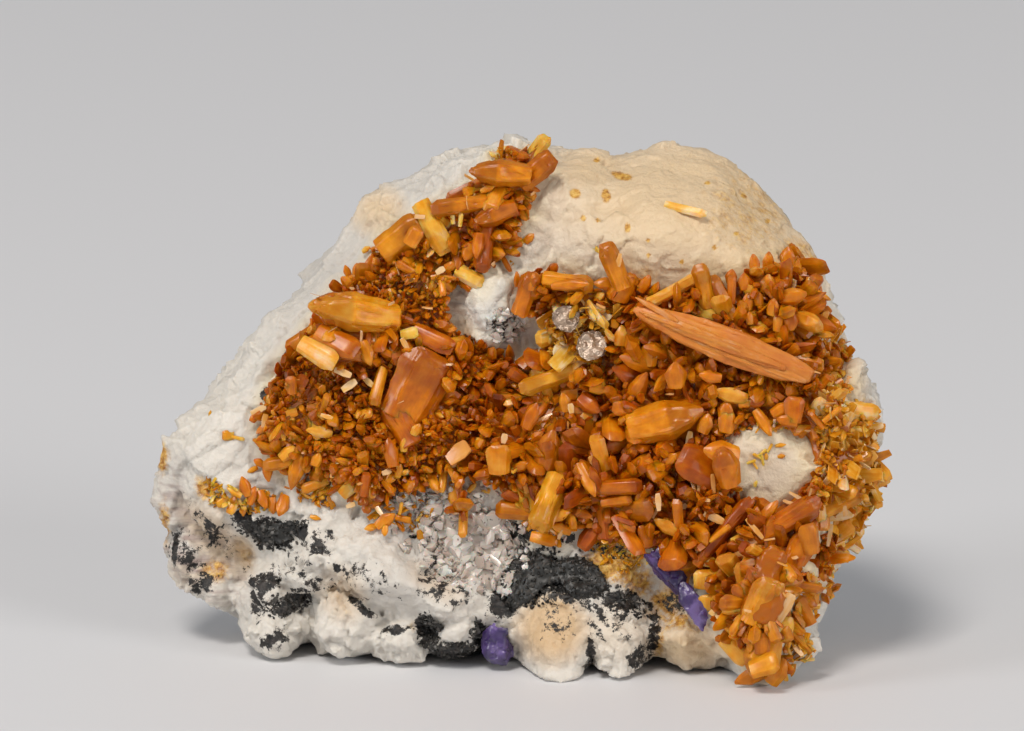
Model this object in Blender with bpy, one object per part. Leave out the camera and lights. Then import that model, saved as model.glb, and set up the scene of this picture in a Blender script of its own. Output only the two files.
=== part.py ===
"""Eosphorite crystals on a broken block of feldspar, as one mineral specimen.

The block is drawn as a collector faces it. A point of that view is (across, up, deep), in
millimetres: across to the right, up along the face, deep into the stone from the foremost tip.
The face leans back by LEAN, and stand() turns a point of the view into the part's own frame, where
+Z is up, the stone rests on Z = 0 and the face looks towards -Y.
"""

import math
from random import Random

import bmesh
import bpy
from mathutils import Matrix, Vector, geometry, noise

MM = 0.001
LEAN = math.radians(12.0)

# The stone's driving sizes, in millimetres. A wave is its length and its height.
ORIGIN = (0.12, 18.49)
FACE_CENTRE = Vector((0.0, 28.0))
FRONT_DEPTH = 7.5
FACE_TURN = 0.13
FACE_WAVE = (7.0, 0.5)
BACK_DEPTH = 34.0
BACK_SLOPE = 0.2
FRONT_GRAIN = 2.2
BACK_GRAIN = 5.0
CHIP_SIZE = 9.0
CHIP_STEP = 0.04
UNDERSIDE_GAP = 1.1
UNDERSIDE_WAVE = (8.0, 0.6)
FOOT_SINK = 0.4

# How far the points of a sheet stray, and keep from its rim, in shares of their spacing.
JITTER = 0.25
RIM_ROOM = 0.45

# How what grew on the stone meets it: the gap kept, the depth of a root, the rise of a rim.
CONTACT_GAP = 0.35
CONTACT_GROWTH = 1.008
ROOT_DEPTH = 1.1
EDGE_RISE = 0.55

# The crust, the sprigs and their crystals, in millimetres, degrees or shares of a width.
CRUST_THICKNESS = 2.4
CRUST_GRAIN = 3.3
SPRIG_THICKNESS = 1.2
SPRIG_GRAIN = 2.4
SHEET_ROUGHNESS = 0.3
DRUSE_SPACING = 4.6
DRUSE_LENGTH = (5.0, 7.2)
DRUSE_WIDTH = (2.4, 3.4)
DRUSE_FLATNESS = 0.72
DRUSE_TILT = (10, 62)
DRUSE_ROLL = (-40, 40)
DRUSE_LIFT = 0.2
ROOM_SHARE = 0.45
ROOM_MARGIN = 0.8
SLIM_WIDTH = 3.4
CRYSTAL_SHAFT = 0.28
CRYSTAL_TIP = 0.36
TIP_SHIFT = 0.3
MICA_TAPER = 0.9

FACE_SEED = 11
BACK_SEED = 5
CRUST_SEED = 7
SPRIG_SEED = 8
DRUSE_SEED = 31
PATCH_SEED = 40
PRISM_SEED = 3
APATITE_SEED = 4

# The stone's outline as it is faced: across, up, depth of the rim, width of the rounded edge.
STONE_OUTLINE = (
    (-40.0, 22.7, 17.0, 3.0), (-39.6, 26.6, 15.5, 3.0), (-38.0, 28.7, 15.0, 2.5),
    (-35.7, 30.8, 15.0, 2.5), (-33.2, 32.4, 15.0, 2.5), (-31.0, 35.2, 15.0, 2.5),
    (-29.7, 38.1, 14.5, 2.5), (-27.8, 40.9, 14.0, 2.5), (-25.4, 42.9, 14.0, 2.5),
    (-23.4, 45.0, 14.0, 2.5), (-21.3, 47.1, 14.0, 2.5), (-19.6, 49.8, 14.0, 2.5),
    (-18.2, 52.2, 14.5, 2.5), (-16.8, 54.3, 14.5, 3.0), (-14.2, 55.5, 14.0, 3.0),
    (-11.6, 56.5, 13.5, 3.0), (-9.4, 58.1, 13.0, 3.0), (-7.2, 59.2, 13.0, 3.0),
    (-4.6, 59.6, 12.5, 3.0), (-2.2, 60.3, 12.0, 3.0), (0.6, 60.5, 11.5, 3.0),
    (3.0, 60.0, 12.0, 4.0), (4.6, 58.4, 13.5, 6.0), (7.0, 59.0, 14.0, 8.0),
    (9.4, 58.9, 14.5, 9.0), (10.7, 58.1, 14.5, 9.0), (12.8, 59.3, 15.0, 10.0),
    (15.3, 59.9, 15.5, 11.0), (18.0, 60.2, 16.0, 12.0), (20.8, 59.6, 16.0, 12.0),
    (23.5, 58.5, 16.0, 12.0), (25.7, 56.5, 15.5, 11.0), (27.9, 53.9, 15.0, 10.0),
    (30.1, 51.6, 14.0, 9.0), (32.1, 49.4, 13.5, 8.0), (33.1, 46.9, 13.0, 7.0),
    (34.5, 44.6, 12.5, 6.0), (35.1, 42.1, 12.0, 6.0), (36.1, 39.6, 12.0, 6.0),
    (36.4, 36.4, 12.0, 6.0), (37.0, 34.7, 11.5, 6.0), (38.6, 33.8, 11.0, 6.0),
    (39.6, 32.0, 10.0, 6.0), (40.0, 28.8, 9.5, 6.0), (40.0, 25.0, 9.5, 6.0),
    (39.5, 21.2, 10.0, 6.0), (38.4, 18.5, 11.0, 5.0), (36.4, 16.6, 12.0, 5.0),
    (35.3, 14.2, 12.5, 5.0), (34.8, 11.4, 12.5, 5.0), (33.8, 8.6, 12.0, 5.0),
    (32.8, 6.0, 11.0, 5.0), (32.3, 3.9, 9.0, 4.0), (30.4, 2.2, 5.5, 3.5),
    (28.8, 0.9, 2.8, 3.0), (27.2, 0.3, 1.2, 3.0), (25.4, 0.5, 1.8, 3.0),
    (24.0, 1.7, 5.0, 3.0), (22.4, 2.6, 10.0, 3.0), (19.2, 2.6, 11.0, 2.5),
    (17.0, 3.2, 12.5, 2.5), (15.4, 4.3, 15.0, 2.5), (14.2, 2.5, 8.5, 2.5),
    (12.8, 1.2, 4.8, 2.5), (11.0, 0.8, 3.2, 2.5), (9.2, 1.8, 6.0, 2.5),
    (8.2, 3.2, 10.0, 2.0), (7.0, 0.9, 3.6, 2.0), (4.8, 0.6, 2.6, 2.0),
    (2.6, 0.9, 3.4, 2.0), (0.9, 2.2, 8.0, 2.5), (-0.4, 3.9, 12.0, 2.5),
    (-3.4, 4.4, 13.0, 2.5), (-6.2, 4.0, 14.0, 2.5), (-9.4, 4.6, 15.0, 2.5),
    (-11.2, 4.5, 16.0, 3.0), (-13.4, 4.1, 16.5, 3.0), (-15.6, 4.6, 17.0, 3.0),
    (-18.0, 3.9, 15.5, 3.0), (-20.4, 4.1, 15.5, 3.0), (-23.0, 5.3, 16.5, 3.0),
    (-25.0, 3.9, 14.5, 3.0), (-27.0, 3.3, 13.5, 3.0), (-28.8, 4.0, 14.0, 2.5),
    (-29.8, 6.2, 15.0, 2.0), (-30.7, 8.4, 21.5, 1.5), (-33.0, 9.4, 23.5, 2.0),
    (-35.8, 10.6, 25.0, 2.0), (-37.6, 12.4, 25.0, 2.0), (-38.8, 15.0, 24.5, 2.0),
    (-39.6, 18.0, 22.0, 2.0), (-39.9, 20.6, 18.5, 2.0),
)

# Rings of the stone's side from rim to back: scale about the face's centre, share of the way back.
SIDE_RINGS = ((1.0, 0.12), (1.0, 0.3), (0.99, 0.5), (0.97, 0.7), (0.93, 0.88), (0.84, 1.0))

# Broken faces that cut the front off: across, up, heading of the fall, slope, depth at that place.
BREAKS = (
    (-36.7, 20.6, 242, 2.4, 12.2),
    (-31.6, 15.5, 212, 2.4, 11.4),
    (-24.0, 41.5, 138, 1.1, 11.6),
    (-9.0, 56.0, 116, 1.0, 9.6),
    (34.0, 9.0, -12, 1.6, 7.5),
)

# Lumps and hollows of the face: across, up, half width, half height, turn, rise, crispness.
FACE_LUMPS = (
    (19.0, 52.0, 17.0, 10.0, 0, 3.6, 2.0),
    (11.5, 47.5, 8.0, 5.0, 0, 1.0, 2.0),
    (-8.5, 55.0, 9.0, 5.0, 25, 1.3, 4.0),
    (-15.2, 52.4, 3.2, 2.6, 20, 1.1, 4.0),
    (-20.0, 46.0, 5.5, 2.2, 50, 1.0, 2.0),
    (-33.0, 27.0, 6.0, 4.0, 35, 1.2, 2.5),
    (-10.5, 9.7, 7.6, 4.7, -25, 3.1, 2.5),
    (-15.4, 14.8, 3.5, 2.9, 0, 1.7, 2.0),
    (-18.0, 6.8, 5.6, 3.4, 15, 2.0, 2.5),
    (-26.5, 9.0, 4.4, 6.3, 0, 3.2, 3.0),
    (-21.5, 13.2, 6.6, 3.1, 25, 2.1, 4.0),
    (4.3, 7.5, 4.7, 4.7, 0, 2.0, 5.0),
    (4.5, 2.6, 3.9, 2.3, -5, 2.9, 5.0),
    (11.4, 5.2, 3.9, 4.3, 0, 2.2, 5.0),
    (19.4, 4.4, 4.7, 2.5, -5, 1.3, 5.0),
    (27.0, 8.5, 7.2, 8.7, 20, 4.2, 2.0),
    (36.0, 27.0, 5.0, 9.0, 0, 1.0, 2.0),
    (2.0, 33.0, 18.0, 9.0, -10, -2.2, 2.0),
    (-5.5, 16.5, 8.0, 5.5, -20, -1.7, 2.0),
    (-27.5, 17.3, 4.4, 2.1, -10, -1.9, 3.0),
    (15.5, 9.7, 4.2, 4.6, 0, -3.0, 2.5),
    (-7.0, 5.4, 5.0, 2.4, 0, -1.5, 2.0),
)

# Flat breaks of the sides and back: outward direction, and distance from the stone's heart.
HEART = Vector((0.0, 28.0, 20.0))
BACK_BREAKS = (
    ((-0.52, 0.42, 0.74), 24.0),
    ((0.08, 0.60, 0.80), 24.5),
    ((0.62, 0.36, 0.70), 29.5),
    ((0.80, -0.12, 0.58), 34.0),
    ((-0.80, -0.05, 0.60), 31.0),
    ((0.10, 0.16, 0.98), 13.0),
    ((-0.30, 0.05, 0.95), 14.5),
    ((0.42, -0.12, 0.90), 19.0),
    ((0.94, 0.22, 0.25), 37.5),
    ((-0.62, 0.70, 0.35), 31.5),
    ((-0.20, 0.93, 0.30), 30.5),
)

# Ledges of the broken back: across, up, half width, half height, turn, rise, crispness.
BACK_LUMPS = (
    (-13.0, 34.0, 11.0, 7.0, 30, 1.6, 8.0),
    (12.0, 40.0, 10.0, 6.5, -20, 1.4, 8.0),
    (15.0, 21.0, 10.0, 8.0, 10, 1.8, 8.0),
    (-12.0, 17.0, 8.0, 5.0, -15, 1.2, 8.0),
)

# The flats that the stone rests on: across, depth, half width, half depth.
FEET = (
    (-26.0, 17.5, 5.0, 6.0),
    (4.8, 7.5, 4.0, 7.0),
    (27.0, 7.0, 4.0, 7.0),
    (-23.0, 30.0, 8.0, 8.0),
    (16.0, 31.0, 9.0, 8.0),
)

CRUST_OUTLINE = (
    (-2.0, 59.2), (0.6, 59.6), (2.8, 58.6), (3.2, 57.2), (1.4, 55.0), (1.5, 52.2),
    (-0.6, 50.2), (-0.4, 47.4), (-2.6, 46.0), (-5.2, 44.4), (-7.2, 43.6), (-7.4, 41.0),
    (-6.0, 39.2), (-3.0, 37.6), (0.0, 36.4), (2.8, 37.2), (3.2, 40.2), (0.6, 41.6),
    (0.2, 44.2), (1.2, 46.0), (4.6, 46.2), (8.2, 45.0), (9.6, 43.4), (10.4, 47.0),
    (12.4, 46.0), (15.2, 43.8), (18.2, 44.6), (20.6, 45.6), (22.8, 43.6), (24.6, 46.0),
    (28.0, 47.3), (30.8, 47.6), (32.4, 45.6), (33.6, 43.0), (33.8, 39.8), (33.0, 37.6),
    (33.8, 35.4), (36.2, 33.6), (38.0, 31.2), (38.9, 28.0), (38.9, 22.6), (37.6, 19.6),
    (35.2, 17.4), (34.0, 13.6), (32.0, 9.4), (30.4, 5.8), (28.6, 2.8), (26.6, 1.8),
    (24.8, 3.0), (23.0, 6.0), (21.9, 9.4), (20.6, 11.6), (19.6, 14.0), (15.0, 15.2),
    (10.6, 15.8), (7.6, 18.4), (4.6, 16.0), (1.6, 16.6), (0.0, 19.6), (-2.0, 22.0),
    (-5.0, 23.0), (-7.6, 24.0), (-10.2, 22.4), (-13.2, 21.2), (-16.2, 20.4), (-18.2, 21.0),
    (-19.6, 23.0), (-23.0, 23.4), (-25.4, 23.6), (-27.6, 25.6), (-28.2, 28.6), (-28.0, 31.4),
    (-26.6, 34.6), (-24.0, 38.0), (-22.4, 41.4), (-20.2, 44.0), (-17.4, 45.4), (-16.2, 48.2),
    (-13.0, 51.0), (-9.0, 52.6), (-5.4, 55.0), (-3.4, 57.4),
)

# Bare feldspar that shows through the crust.
CRUST_WINDOW = (
    (24.2, 27.4), (28.0, 27.9), (31.6, 27.6), (32.0, 24.2), (30.0, 21.9), (28.0, 20.2),
    (26.2, 20.8), (24.2, 22.2),
)

# Crystals that stand out of the druse: across, up, length, width, thickness, turn in the face,
# tilt of the tip towards the eye, roll about its own length, height of its middle over the crust.
LARGE_CRYSTALS = (
    (-18.0, 41.4, 10.4, 4.7, 4.2, 172, 14, 0, 1.5),
    (-18.8, 37.6, 7.0, 3.6, 2.6, 168, 4, 25, 0.5),
    (-21.4, 37.0, 5.4, 2.4, 1.8, 154, 0, 10, 1.0),
    (-10.8, 33.2, 8.4, 6.6, 2.4, 62, 6, 10, 1.0),
    (-13.0, 29.6, 6.4, 3.6, 2.0, 118, -8, -20, 0.6),
    (22.4, 38.0, 20.8, 3.9, 2.6, -21, 3, 12, 1.2),
    (17.2, 43.8, 6.4, 1.6, 1.4, 28, 8, 0, -0.2),
    (20.4, 44.2, 5.2, 2.1, 1.8, 104, 20, 0, 0.2),
    (22.4, 43.0, 5.4, 2.0, 1.7, 118, 10, 20, 0.1),
    (-2.0, 56.6, 7.0, 3.2, 2.8, 176, 8, 0, 0.0),
    (2.2, 57.0, 5.0, 2.9, 2.0, 40, 10, 0, 0.2),
    (1.9, 59.0, 4.8, 1.9, 1.6, 52, 4, 0, -1.0),
    (-6.4, 53.0, 6.4, 2.2, 1.8, 188, 6, 0, -0.2),
    (-2.6, 52.0, 5.2, 2.6, 2.0, 200, 10, 0, 0.4),
    (-3.6, 48.6, 6.0, 2.2, 1.8, 262, 10, 0, 0.2),
    (-12.6, 49.6, 5.8, 4.0, 1.8, 36, 10, 0, 0.1),
    (-9.2, 50.6, 6.4, 2.6, 1.6, -62, 4, 0, 0.0),
    (-5.2, 45.2, 3.4, 2.0, 1.4, -28, 6, 0, -0.2),
    (3.4, 34.0, 7.0, 2.2, 2.0, 199, 10, 0, 0.9),
    (16.4, 29.6, 8.8, 5.0, 3.8, 14, 12, 0, 1.2),
    (3.4, 20.4, 6.8, 3.1, 2.6, 248, 18, 0, 0.8),
    (-6.2, 20.8, 8.0, 2.3, 1.9, 279, 4, 0, 0.1),
    (-1.7, 25.2, 3.2, 2.8, 2.4, 95, 30, 15, 0.4),
    (-6.4, 25.8, 2.8, 2.6, 1.4, 80, 30, 0, -0.2),
    (26.6, 9.6, 6.6, 5.8, 3.0, 64, 8, 10, 0.8),
    (27.4, 13.6, 5.8, 5.0, 3.2, 80, 20, 0, 0.8),
    (31.2, 15.8, 6.4, 3.2, 1.8, 62, 6, 0, 0.1),
    (22.6, 17.4, 9.6, 1.9, 1.9, 50, 8, 0, 0.6),
    (29.6, 18.8, 8.4, 2.6, 2.0, 32, 10, 0, 0.5),
    (22.8, 24.6, 5.0, 3.4, 2.2, 104, 24, 0, 0.5),
    (35.6, 20.8, 6.4, 4.2, 1.6, 28, -6, 0, 0.0),
    (35.6, 24.8, 6.4, 4.6, 1.4, 48, -10, 0, 0.0),
    (10.6, 46.4, 5.6, 2.4, 1.8, 110, 14, 0, -0.2),
    (5.6, 44.6, 5.6, 2.2, 1.8, -8, 8, 0, -0.1),
    (1.0, 43.4, 5.2, 2.3, 1.9, 72, 16, 0, 0.0),
    (26.6, 3.6, 5.2, 4.2, 2.6, 250, -4, 0, -0.4),
    (-25.8, 24.8, 4.4, 1.6, 1.2, 190, 2, 0, -0.5),
    (-24.4, 23.8, 4.4, 1.9, 1.4, 256, 6, 0, -0.5),
)

# The two sprigs on the bare face, in the same nine sizes, and the prism alone on the dome.
LEFT_SPRIG_OUTLINE = (
    (-33.2, 20.8), (-31.0, 22.0), (-28.4, 21.8), (-26.0, 20.6), (-28.2, 19.0), (-31.4, 19.4),
)
LEFT_SPRIG_CRYSTALS = (
    (-32.0, 20.8, 3.0, 1.6, 1.2, 205, 6, 0, 0.0),
    (-30.0, 21.6, 3.2, 1.7, 1.2, 105, 10, 0, 0.0),
    (-28.6, 20.2, 3.0, 1.5, 1.2, 262, 8, 0, 0.0),
    (-26.8, 20.2, 3.2, 1.7, 1.2, -38, 6, 0, 0.0),
    (-29.2, 20.8, 3.0, 1.6, 1.2, 30, 35, 0, 0.2),
)
LOWER_SPRIG_OUTLINE = (
    (-16.2, 19.0), (-15.0, 20.2), (-13.0, 19.6), (-11.8, 17.6), (-13.8, 17.0), (-15.4, 17.8),
)
LOWER_SPRIG_CRYSTALS = (
    (-15.2, 19.3, 4.6, 2.0, 1.5, 200, 6, 0, 0.0),
    (-13.6, 18.6, 5.0, 1.8, 1.4, -30, 4, 0, 0.0),
    (-14.0, 18.4, 3.6, 1.8, 1.4, 255, 20, 0, 0.2),
)
SPRIGS = (
    ("eosphorite_sprig_left", LEFT_SPRIG_OUTLINE, LEFT_SPRIG_CRYSTALS),
    ("eosphorite_sprig_lower", LOWER_SPRIG_OUTLINE, LOWER_SPRIG_CRYSTALS),
)
STRAY_PRISM = (18.5, 52.6, 5.0, 1.35, 1.1, -14, 0, 0, 0.5)

QUARTZ_OUTLINE = (
    (-10.4, 19.6), (-8.6, 20.6), (-5.6, 20.4), (-3.6, 19.6), (-1.4, 18.2), (0.2, 15.6),
    (-1.2, 13.0), (-2.2, 11.0), (-3.6, 9.8), (-5.6, 11.0), (-7.4, 13.4), (-9.4, 15.4),
    (-10.8, 16.8),
)
QUARTZ_GRAIN_OUTLINE = (
    (-2.4, 38.9), (-1.4, 40.6), (0.2, 41.0), (-0.4, 39.4), (0.0, 38.0), (-1.2, 37.8),
)
DARK_LEFT_OUTLINE = (
    (-31.0, 18.4), (-29.0, 18.8), (-27.4, 18.4), (-25.0, 18.6), (-23.2, 18.0), (-23.8, 16.6),
    (-26.0, 15.6), (-28.0, 15.4), (-29.8, 16.8),
)
DARK_BASE_OUTLINE = (
    (-10.8, 7.4), (-9.2, 7.8), (-7.6, 6.6), (-5.6, 6.4), (-4.4, 6.8), (-3.7, 5.8),
    (-4.6, 4.9), (-7.0, 4.7), (-9.4, 5.5),
)
DARK_CENTRE_OUTLINE = (
    (1.0, 14.2), (2.6, 15.0), (4.4, 14.2), (6.6, 14.8), (9.2, 13.4), (10.2, 11.2),
    (8.8, 9.6), (6.4, 9.6), (4.6, 11.6), (3.2, 11.4), (1.6, 9.6), (-0.4, 8.4),
    (-1.4, 9.6), (-0.8, 12.2),
)

# Patches of another mineral on the stone: node, outline, material, spacing, rise, roughness.
PATCHES = (
    ("quartz_patch", QUARTZ_OUTLINE, "smoky_quartz", 1.7, 1.6, 0.45),
    ("quartz_grain", QUARTZ_GRAIN_OUTLINE, "smoky_quartz", 0.9, 1.6, 0.2),
    ("dark_grains_left", DARK_LEFT_OUTLINE, "dark_grains", 1.4, 1.5, 0.3),
    ("dark_grains_base", DARK_BASE_OUTLINE, "dark_grains", 1.2, 2.4, 0.3),
    ("dark_grains_centre", DARK_CENTRE_OUTLINE, "dark_grains", 1.6, 1.6, 0.35),
)

# Apatite, in a crystal's nine sizes.
APATITES = (
    ("apatite_bead", (-2.1, 5.1, 4.6, 3.5, 3.2, 84, 10, 0, 0.9)),
    ("apatite_tablet", (16.7, 13.2, 5.2, 2.9, 2.2, -32, 6, 15, 0.5)),
    ("apatite_wedge", (19.7, 8.6, 6.2, 2.2, 2.0, 122, 4, 0, 0.6)),
)

# Books of mica in the crust: node, across, up, radius, thickness, tilt, turn, height over the stone.
MICA_BOOKS = (
    ("mica_book_lower", 8.1, 37.6, 1.8, 1.0, 18, 30, 3.6),
    ("mica_book_upper", 5.4, 40.6, 1.6, 0.8, 24, 10, 3.0),
)

MATERIALS = {
    "feldspar": ((0.80, 0.76, 0.68), 0.45),
    "eosphorite": ((0.62, 0.22, 0.03), 0.25),
    "smoky_quartz": ((0.47, 0.42, 0.38), 0.15),
    "dark_grains": ((0.035, 0.038, 0.04), 0.6),
    "apatite": ((0.17, 0.09, 0.28), 0.2),
    "mica": ((0.42, 0.33, 0.24), 0.3),
}


def height_over_ground(up, deep):
    """Height in the part's frame, in millimetres, of a place of the faced view."""
    return up * math.cos(LEAN) - deep * math.sin(LEAN)


def stand(across, up, deep):
    """A point of the faced view, in the part's frame and in metres."""
    back = deep * math.cos(LEAN) + up * math.sin(LEAN)
    return MM * Vector((across - ORIGIN[0], back - ORIGIN[1], height_over_ground(up, deep)))


def standing_matrix():
    """The same turn as stand(), for shapes made in the faced view in millimetres."""
    turn = Matrix((
        (1, 0, 0, -ORIGIN[0]),
        (0, math.sin(LEAN), math.cos(LEAN), -ORIGIN[1]),
        (0, math.cos(LEAN), -math.sin(LEAN), 0),
        (0, 0, 0, 1),
    ))
    return Matrix.Scale(MM, 4) @ turn


def nearest_on_loop(loop, point):
    """Distance from a flat loop, and which edge and share of it is nearest."""
    best = (1e9, 0, 0.0)
    for i, start in enumerate(loop):
        edge = loop[(i + 1) % len(loop)] - start
        share = max(0.0, min(1.0, (point - start).dot(edge) / edge.length_squared))
        distance = (point - start - edge * share).length
        if distance < best[0]:
            best = (distance, i, share)
    return best


def inside_loop(loop, point):
    """Whether a flat point lies inside a loop."""
    inside = False
    for i, a in enumerate(loop):
        b = loop[(i + 1) % len(loop)]
        if (a.y > point.y) != (b.y > point.y):
            if point.x < a.x + (point.y - a.y) * (b.x - a.x) / (b.y - a.y):
                inside = not inside
    return inside


def loop_of(rows):
    """The flat loop of an outline's across and up."""
    return [Vector(row[:2]) for row in rows]


STONE_LOOP = loop_of(STONE_OUTLINE)
CRUST_LOOP = loop_of(CRUST_OUTLINE)


def lumps_at(lumps, across, up):
    """How far the lumps and hollows of a list raise a surface at one place."""
    raised = 0.0
    for x, y, half_width, half_height, turn, rise, crisp in lumps:
        c, s = math.cos(math.radians(turn)), math.sin(math.radians(turn))
        along = ((across - x) * c + (up - y) * s) / half_width
        aside = ((up - y) * c - (across - x) * s) / half_height
        reach = math.hypot(along, aside)
        if reach < 1.0:
            raised += rise * (1.0 - reach**crisp)
    return raised


def fall_along(heading, across, up):
    """How far a step across and up goes in the direction of a heading in degrees."""
    return across * math.cos(math.radians(heading)) + up * math.sin(math.radians(heading))


def face_depth(across, up):
    """Depth of the stone's front surface at a place of the faced view."""
    point = Vector((across, up))
    plateau = FRONT_DEPTH - FACE_TURN * across
    for x, y, heading, slope, start in BREAKS:
        plateau = max(plateau, start + slope * fall_along(heading, across - x, up - y))
    plateau -= lumps_at(FACE_LUMPS, across, up)
    plateau += FACE_WAVE[1] * noise.noise(Vector((across, up, 0.0)) / FACE_WAVE[0])
    distance, i, share = nearest_on_loop(STONE_LOOP, point)
    first, last = STONE_OUTLINE[i], STONE_OUTLINE[(i + 1) % len(STONE_OUTLINE)]
    rim = first[2] + (last[2] - first[2]) * share
    width = first[3] + (last[3] - first[3]) * share
    if not inside_loop(STONE_LOOP, point):
        distance = 0.0
    rounded = 1.0 - max(0.0, 1.0 - distance / width) ** 2
    return rim + (plateau - rim) * rounded


def back_depth(across, up):
    """Depth of the broken back at a place of the faced view."""
    return BACK_DEPTH - BACK_SLOPE * (up - FACE_CENTRE.y) + lumps_at(BACK_LUMPS, across, up)


def underside(across, deep):
    """Height of the stone's underside over what it stands on, a little under it at the feet."""
    for x, y, half_width, half_depth in FEET:
        if abs(across - x) < half_width and abs(deep - y) < half_depth:
            return -FOOT_SINK
    place = Vector((across, deep, 0.0)) / UNDERSIDE_WAVE[0]
    return UNDERSIDE_GAP + UNDERSIDE_WAVE[1] * noise.noise(place)


def fill_loops(loops, spacing, seed, thinned=None):
    """Flat points and triangles inside the first loop and outside the rest, fewer where thinned."""
    rng = Random(seed)
    points, edges = [], []
    for loop in loops:
        first = len(points)
        points += loop
        edges += [(first + i, first + (i + 1) % len(loop)) for i in range(len(loop))]

    def filled(point):
        in_hole = any(inside_loop(hole, point) for hole in loops[1:])
        return inside_loop(loops[0], point) and not in_hole

    low = Vector((min(p.x for p in loops[0]), min(p.y for p in loops[0])))
    high = Vector((max(p.x for p in loops[0]), max(p.y for p in loops[0])))
    row_step = spacing * math.sqrt(0.75)
    for row in range(int((high.y - low.y) / row_step) + 1):
        for column in range(int((high.x - low.x) / spacing) + 2):
            jitter = Vector((rng.uniform(-JITTER, JITTER), rng.uniform(-JITTER, JITTER))) * spacing
            place = Vector((low.x + (column - row % 2 / 2) * spacing, low.y + row * row_step)) + jitter
            to_rim = min(nearest_on_loop(loop, place)[0] for loop in loops)
            if not filled(place) or to_rim < RIM_ROOM * spacing:
                continue
            if thinned and (row % 2 or column % 2) and inside_loop(thinned, place):
                if nearest_on_loop(thinned, place)[0] > spacing:
                    continue
            points.append(place)
    flat, _, triangles, *_ = geometry.delaunay_2d_cdt(points, edges, [], 0, 1e-5)
    kept = [t for t in triangles if filled(sum((flat[i] for i in t), Vector((0, 0))) / len(t))]
    return flat, kept


def made(name, bm, material):
    """An object from a bmesh that is in the part's frame."""
    bmesh.ops.recalc_face_normals(bm, faces=bm.faces)
    mesh = bpy.data.meshes.new(name)
    bm.to_mesh(mesh)
    bm.free()
    obj = bpy.data.objects.new(name, mesh)
    bpy.context.scene.collection.objects.link(obj)
    mesh.materials.append(bpy.data.materials[material])
    return obj


def cut(obj, cutter, merge_parts=False):
    """Takes one solid from another with a Boolean, and hides the cutter."""
    cutter.hide_render = True
    cutter.display_type = "WIRE"
    boolean = obj.modifiers.new("cut_by_" + cutter.name, "BOOLEAN")
    boolean.operation = "DIFFERENCE"
    boolean.solver = "EXACT"
    boolean.use_self = merge_parts
    boolean.object = cutter


def side_rings():
    """The stone's outline as it runs back from the rim: scaled, evened out and kept off the ground."""
    loop = STONE_LOOP
    rings = []
    for scale, share in SIDE_RINGS:
        loop = [(loop[i - 1] + 2 * p + loop[(i + 1) % len(loop)]) / 4 for i, p in enumerate(loop)]
        ring = []
        for row, point in zip(STONE_OUTLINE, loop):
            chip = noise.cell(Vector((point.x, point.y, share * BACK_DEPTH)) / CHIP_SIZE)
            place = FACE_CENTRE + (point - FACE_CENTRE) * (scale - CHIP_STEP * share * chip)
            deep = row[2] + (back_depth(place.x, place.y) - row[2]) * share
            lowest = (underside(place.x, deep) + deep * math.sin(LEAN)) / math.cos(LEAN)
            ring.append((place.x, max(place.y, lowest), deep))
        rings.append(ring)
    return rings


def break_off(bm, place, outward):
    """Takes off what lies beyond a plane, and closes the mesh with flat faces there."""
    parts = bm.verts[:] + bm.edges[:] + bm.faces[:]
    bmesh.ops.bisect_plane(bm, geom=parts, dist=1e-7, plane_co=place, plane_no=outward, clear_outer=True)
    bmesh.ops.holes_fill(bm, edges=[e for e in bm.edges if e.is_boundary], sides=0)


def stone(name):
    """The feldspar block: a sheet for the face, rings for the sides and a sheet for the back."""
    bm = bmesh.new()
    count = len(STONE_OUTLINE)
    place_on_rim = bm.verts.layers.int.new("place_on_rim")
    flat, triangles = fill_loops([STONE_LOOP], FRONT_GRAIN, FACE_SEED, thinned=CRUST_LOOP)
    verts = []
    for i, p in enumerate(flat):
        deep = STONE_OUTLINE[i][2] if i < count else face_depth(p.x, p.y)
        verts.append(bm.verts.new(stand(p.x, p.y, deep)))
        verts[-1][place_on_rim] = i
    for triangle in triangles:
        bm.faces.new([verts[i] for i in triangle])
    edges = [e for e in bm.edges if e.is_boundary]
    for ring in side_rings():
        grown = bmesh.ops.extrude_edge_only(bm, edges=edges)["geom"]
        edges = [g for g in grown if isinstance(g, bmesh.types.BMEdge) and g.is_boundary]
        outer = [g for g in grown if isinstance(g, bmesh.types.BMVert)]
        for v in outer:
            v.co = stand(*ring[v[place_on_rim]])
    outer.sort(key=lambda v: v[place_on_rim])
    last_loop = loop_of(ring)
    flat, triangles = fill_loops([last_loop], BACK_GRAIN, BACK_SEED)
    verts = outer + [bm.verts.new(stand(p.x, p.y, back_depth(p.x, p.y))) for p in flat[count:]]
    for triangle in triangles:
        bm.faces.new([verts[i] for i in triangle])
    for outward, distance in BACK_BREAKS:
        place = stand(*(HEART + Vector(outward).normalized() * distance))
        break_off(bm, place, stand(*(HEART + Vector(outward))) - stand(*HEART))
    break_off(bm, (0, 0, 0), (0, 0, -1))
    return made(name, bm, "feldspar")


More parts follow.
